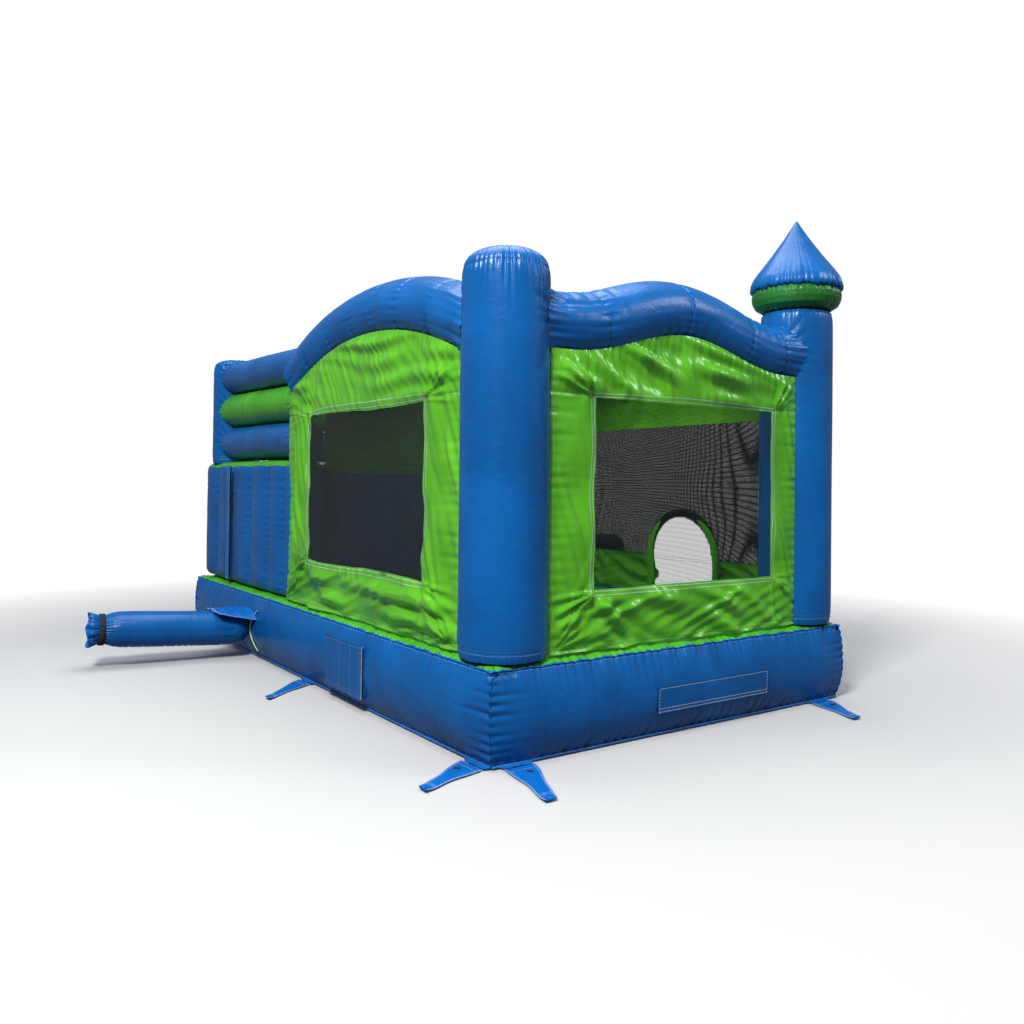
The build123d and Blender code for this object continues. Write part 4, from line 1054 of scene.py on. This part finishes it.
puff("pouch", "spare_inlet_pouch", (-1.449, 1.755, 0.11), (-0.791, 1.7962, 0.5), 0.012, BLUE, 0.004,
     lambda p, n: 0.003 * crinkle(p[:, 0], p[:, 2], 0.12, 121), step=0.012)
u, v = patch((-1.455, 0.105), (-0.795, 0.505), (90, 60))
wave = 0.004 * drape(u, v, PI / 2, 0.5, 0.07, 122) + pucker(v, u + 1.455, 0.05, 0.006, 0.08, 123)
top = np.stack([u, 1.803 + np.clip(wave, -0.003, 0.008), v], -1)
rows = [top[i] for i in (3, 6, 24, 27, 52, 86)] + [top[:, j] for j in (3, 6, -4)]
flap("pouch_cover_sheet", "pouch_flap", "pouch_cover", top, REAR, BLUE, rows, PALE_THREAD, dict(width=0.003),
     flat=(0.66, 0.4), held="hung", rests_on=["spare_inlet_pouch"])
for name, x, y, ends, size, material, body in (
    # the pouch's lip is real; its pale colour is a painted highlight
    ("pouch_lip", -1.458, 1.8015, (0.11, 0.5), 0.004, EDGE_HIGHLIGHT, "pouch_cover"),
    # the black rod in the pouch's slit is painted shade for its dark gap; it uses the black strap material
    ("pouch_slit_shadow", -1.4525, 1.798, (0.125, 0.485), 0.009, STRAP, MAIN),
):
    z = np.linspace(*ends, 20)
    round_line(name, np.stack([0 * z + x, 0 * z + y, z], -1), size, material, body, turns=8)

u, v = patch((-0.739, 0.178), (0.398, 0.352), (110, 24))
top = np.stack([-3.1035 - belly(v, 1.0) - np.clip(0.003 * crinkle(u, v, 0.2, 124), -0.001, 0.004), u, v], -1)
rows = [top[:, j] for j in (1, 4, -2)] + [top[i] for i in (1, -2)]
flap("blank_pocket", "label_pocket", MAIN, top, (-1, 0, 0), BLUE, rows, THREAD,
     dict(width=0.0042, stitch=0.014, gap=0.009), flat=(1.137, 0.174), held="stretched",
     rests_on=["base_tube_end"])

# the zipper's tape and its two rows of teeth
x, z = patch((2.036, 0.681), (2.084, 1.879), (7, 80))
parts = [sheet_shell(np.stack([x, 0 * x + 1.6872, z], -1), 0.0012, REAR)]
tooth = np.array([(x, y, z * (1.4 if y < 0 else 1.0))
                  for z in (-1, 1) for x, y in ((-3.5, -1), (3.5, -1), (3.5, 1.5), (-3.5, 1.5))]) * 0.001
tooth_quads = np.array([[0, 1, 2, 3], [4, 7, 6, 5], [0, 4, 5, 1], [1, 5, 6, 2], [2, 6, 7, 3], [3, 7, 4, 0]])
for side in (-1, 1):
    for z in np.arange(0.686, 1.874, 0.0045) + (0.00225 if side > 0 else 0):
        parts.append((tooth + (2.06 + side * 0.0025, 1.6885, z), tooth_quads))
build("zipper_teeth", *joined(parts), ZIPPER, "zipper_chain")

u, v = patch((2.015, 0.67), (2.11, 1.89), (16, 120))
wave = 0.004 * crinkle(u * 2, v, 0.16, 126) * (2.11 - u) / 0.095 + 0.002
top = np.stack([u, 1.7075 + np.clip(wave, -0.0015, 0.008), v], -1)
rows = [top[2], top[-3], top[:, 2], top[:, -3]]
flap("zip_cover_sheet", "zipper_flap", "zip_cover", top, REAR, BLUE_SHEET, rows, THREAD,
     flat=(0.095, 1.22), held="hung", rests_on=["lower_wall_rear"])


# ---------------------------------------------------------------- anchor tabs


def tab_root(name, edge, out):
    """The strip that joins a tab to the base's bottom seam, up to the tab's hinge."""
    u, v = patch((-0.128, 0), (0.128, 1), (30, 14))
    out = np.array([*out, 0.0])
    side = np.array([out[1], -out[0], 0.0])
    p = np.array([*edge, 0.0]) + side * (u * (1 - 0.12 * v))[..., None] + out * (0.05 * v - 0.048)[..., None]
    p[..., 2] = 0.0205 - 0.0095 * v**0.6 + 0.003 * noise(u * 30, v * 2, 140)
    strip = build("tab_root_" + name, p, grid_quads(*u.shape), BLUE_SHEET)


def tab(name, edge, out, skew, seed, long):
    """A sewn tab that lies on the ground, with its eyelet near the root and a folded loop at the tip."""
    out = np.array([*out, 0.0])
    root = np.array([*edge, 0.0]) + out * 0.012
    side = np.array([out[1], -out[0], 0.0])
    lean = side * skew
    body = "tab_" + name
    u, v = patch((-1, 0), (1, 1), (44, 84))
    half = 0.112 * (1 - v) + 0.034 * v + 0.006 * np.sin(v * 9)
    z = 0.0062 + 0.00125 * (np.cos(u * PI) + 1) + 0.003 * np.abs(u) ** 3
    z = z + 0.004 * noise(u * 2, v * 5, seed)
    p = root + out * (long * v)[..., None] + side * (u * half)[..., None] + lean * (v**1.15)[..., None]
    p[..., 2] = z + 0.010 * np.clip((v - 0.86) / 0.14, 0, 1)
    hole = root + out * 0.105
    mid = (p[1:, 1:] + p[:-1, :-1]) / 2
    near = (np.hypot(*(mid - hole)[..., :2].transpose(2, 0, 1)) < 0.0145).ravel()
    points, quads = sheet_shell(p, 0.0045, UP)
    keep = ~np.concatenate([near, near, np.zeros(len(quads) - 2 * len(near), bool)])
    piece = build("tab_sheet_" + name, points, quads[keep], BLUE_SHEET, "anchor_tab_" + name, body)
    a = np.linspace(0, 2 * PI, 48, endpoint=False)
    ring = hole + np.stack([np.cos(a) * 0.0175, np.sin(a) * 0.0175, 0 * a + 0.0095], -1)
    round_line("tab_eyelet_" + name, ring, 0.0038, EYELET, body, turns=12, closed=True)
    rows = [p[3, :-3], p[-4, :-3], p[3:-3, 8], p[3:-3, 66], p[3:-3, 69]]
    lines = [(line, UP) for line in rows]
    thread = stitches("tab_stitches_" + name, lines, THREAD, body, stitch=0.008, gap=0.005, width=0.0024)
    # the tab's side hems are real; their pale colour is a painted highlight
    edges = round_line("tab_edge_" + name, p[0], 0.003, EDGE_HIGHLIGHT, body, turns=8)
    round_line("tab_far_edge_" + name, p[-1], 0.003, EDGE_HIGHLIGHT, body, turns=8)
    turn = np.linspace(-PI / 2, PI * 1.25, 30)
    ahead = unit(out * long + lean)
    line = p[22, -1] + np.outer(np.cos(turn) * 0.010 - 0.012, ahead)
    line = line + np.outer(np.sin(turn) * 0.007 + 0.001, UP)
    strip = line[:, None] + side * np.linspace(-0.033, 0.033, 9)[:, None]
    loop = build("tab_loop_" + name, strip, grid_quads(30, 9), BLUE_SHEET, body=body)


# where each tab leaves the base, its direction, how far its tip leans sideways, a seed and its length
TABS = (
    ("rear_corner", (-2.930, BASE_Y), (0, 1), -0.22, 131, 0.467),
    ("rear_middle", (-0.260, BASE_Y), (0, 1), -0.40, 132, 0.467),
    ("end_rear", (-BASE_X, 1.530), (-1, 0), 0.195, 133, 0.567),
    ("end_front", (-BASE_X, -1.447), (-1, 0), 0.22, 134, 0.467),
    ("front", (-2.700, -BASE_Y), (0, -1), 0.0, 135, 0.467),
    ("slide_end", (BASE_X, 0.300), (1, 0), 0.0, 136, 0.467),
)
for name, edge, out, *shape in TABS:
    tab_root(name, edge, out)
    tab(name, edge, out, *shape)


# ---------------------------------------------------------------- camera, light and floor


def placed(name, data, place, ahead, roll=0.0):
    """A camera or lamp that looks along ahead, rolled about it."""
    o = bpy.data.objects.new(name, data)
    bpy.context.scene.collection.objects.link(o)
    ahead = unit(np.array(ahead, float))
    right = unit(np.cross(ahead, UP))
    up = np.cross(right, ahead)
    c, s = math.cos(roll), math.sin(roll)
    right, up = c * right + s * up, -s * right + c * up
    m = Matrix([(right[k], up[k], -ahead[k], place[k]) for k in range(3)] + [(0, 0, 0, 1)])
    o.matrix_world = m
    return o


# the camera stands at eye level: its place, lens and tilt were fitted to the outlines of base and columns
YAW, PITCH, ROLL = (math.radians(angle) for angle in (-35.09, 0.82, 0.68))
ahead = (math.cos(PITCH) * math.cos(YAW), math.cos(PITCH) * math.sin(YAW), math.sin(PITCH))
camera = placed("camera", bpy.data.cameras.new("camera"), (-7.5137, 4.7071, 1.7381), ahead, ROLL)
camera.data.sensor_width, camera.data.lens, camera.data.shift_y = 36.0, 31.194, -0.041
camera.data.clip_end = 200
bpy.context.scene.camera = camera

# a cool sky lights the object, and the camera sees plain white behind it
world = bpy.data.worlds.new("studio")
bpy.context.scene.world = world
world.use_nodes = True
sky, links = world.node_tree.nodes, world.node_tree.links
glow, backdrop = sky["Background"], sky.new("ShaderNodeBackground")
path, choice = sky.new("ShaderNodeLightPath"), sky.new("ShaderNodeMixShader")
glow.inputs["Color"].default_value = (0.80, 0.87, 1.0, 1)
glow.inputs["Strength"].default_value = 0.26
backdrop.inputs["Color"].default_value = (1, 1, 1, 1)
links.new(path.outputs["Is Camera Ray"], choice.inputs[0])
links.new(glow.outputs[0], choice.inputs[1])
links.new(backdrop.outputs[0], choice.inputs[2])
links.new(choice.outputs[0], sky["World Output"].inputs["Surface"])


def lamp(name, place, target, size, power, colour=(1, 1, 1)):
    light = bpy.data.lights.new(name, "AREA")
    light.shape, light.size, light.energy, light.color = "SQUARE", size, power, colour
    return placed(name, light, place, np.array(target, float) - place)


COOL = (0.95, 0.97, 1.0)
lamp("key", (-7.0, 8.0, 10.0), (-0.8, 0.3, 1.2), 2.6, 2050, (1.0, 0.99, 0.97))
lamp("fill", (-8.5, -7.0, 8.5), (-1, 0, 1.2), 3.0, 330, COOL)
lamp("top", (0.01, 0.0, 12.0), (0, 0, 0), 9.0, 1250, COOL)
inside = lamp("inside", (-1.2, -0.2, 2.6), (-1.2, -0.4, 0.0), 2.0, 45)
inside.visible_camera = inside.visible_glossy = False

# the floor catches the shadows and fades into the backdrop
ground = Surface("studio_floor")
ground.put(ground.shader, Base_Color=(0.5, 0.5, 0.5, 1), Roughness=0.9, Specular_IOR_Level=0.1)
reach, fade = ground.add("ShaderNodeVectorMath"), ground.add("ShaderNodeMixShader")
reach.operation = "LENGTH"
ground.links.new(ground.where, reach.inputs[0])
ground.links.new(ground.ramp(reach.outputs["Value"], 0, 1, (4.6, 8.2)), fade.inputs[0])
ground.links.new(ground.shader.outputs[0], fade.inputs[1])
ground.links.new(ground.add("ShaderNodeBsdfTransparent").outputs[0], fade.inputs[2])
ground.links.new(fade.outputs[0], ground.nodes["Material Output"].inputs["Surface"])
floor_data = bpy.data.meshes.new("studio_floor")
floor_data.from_pydata([(-60, -60, 0), (60, -60, 0), (60, 60, 0), (-60, 60, 0)], [], [(0, 1, 2, 3)])
floor_data.materials.append(ground.material)
studio_floor = bpy.data.objects.new("studio_floor", floor_data)
bpy.context.scene.collection.objects.link(studio_floor)
studio_floor.visible_diffuse = studio_floor.visible_glossy = False

bpy.context.scene.view_settings.view_transform = "Standard"
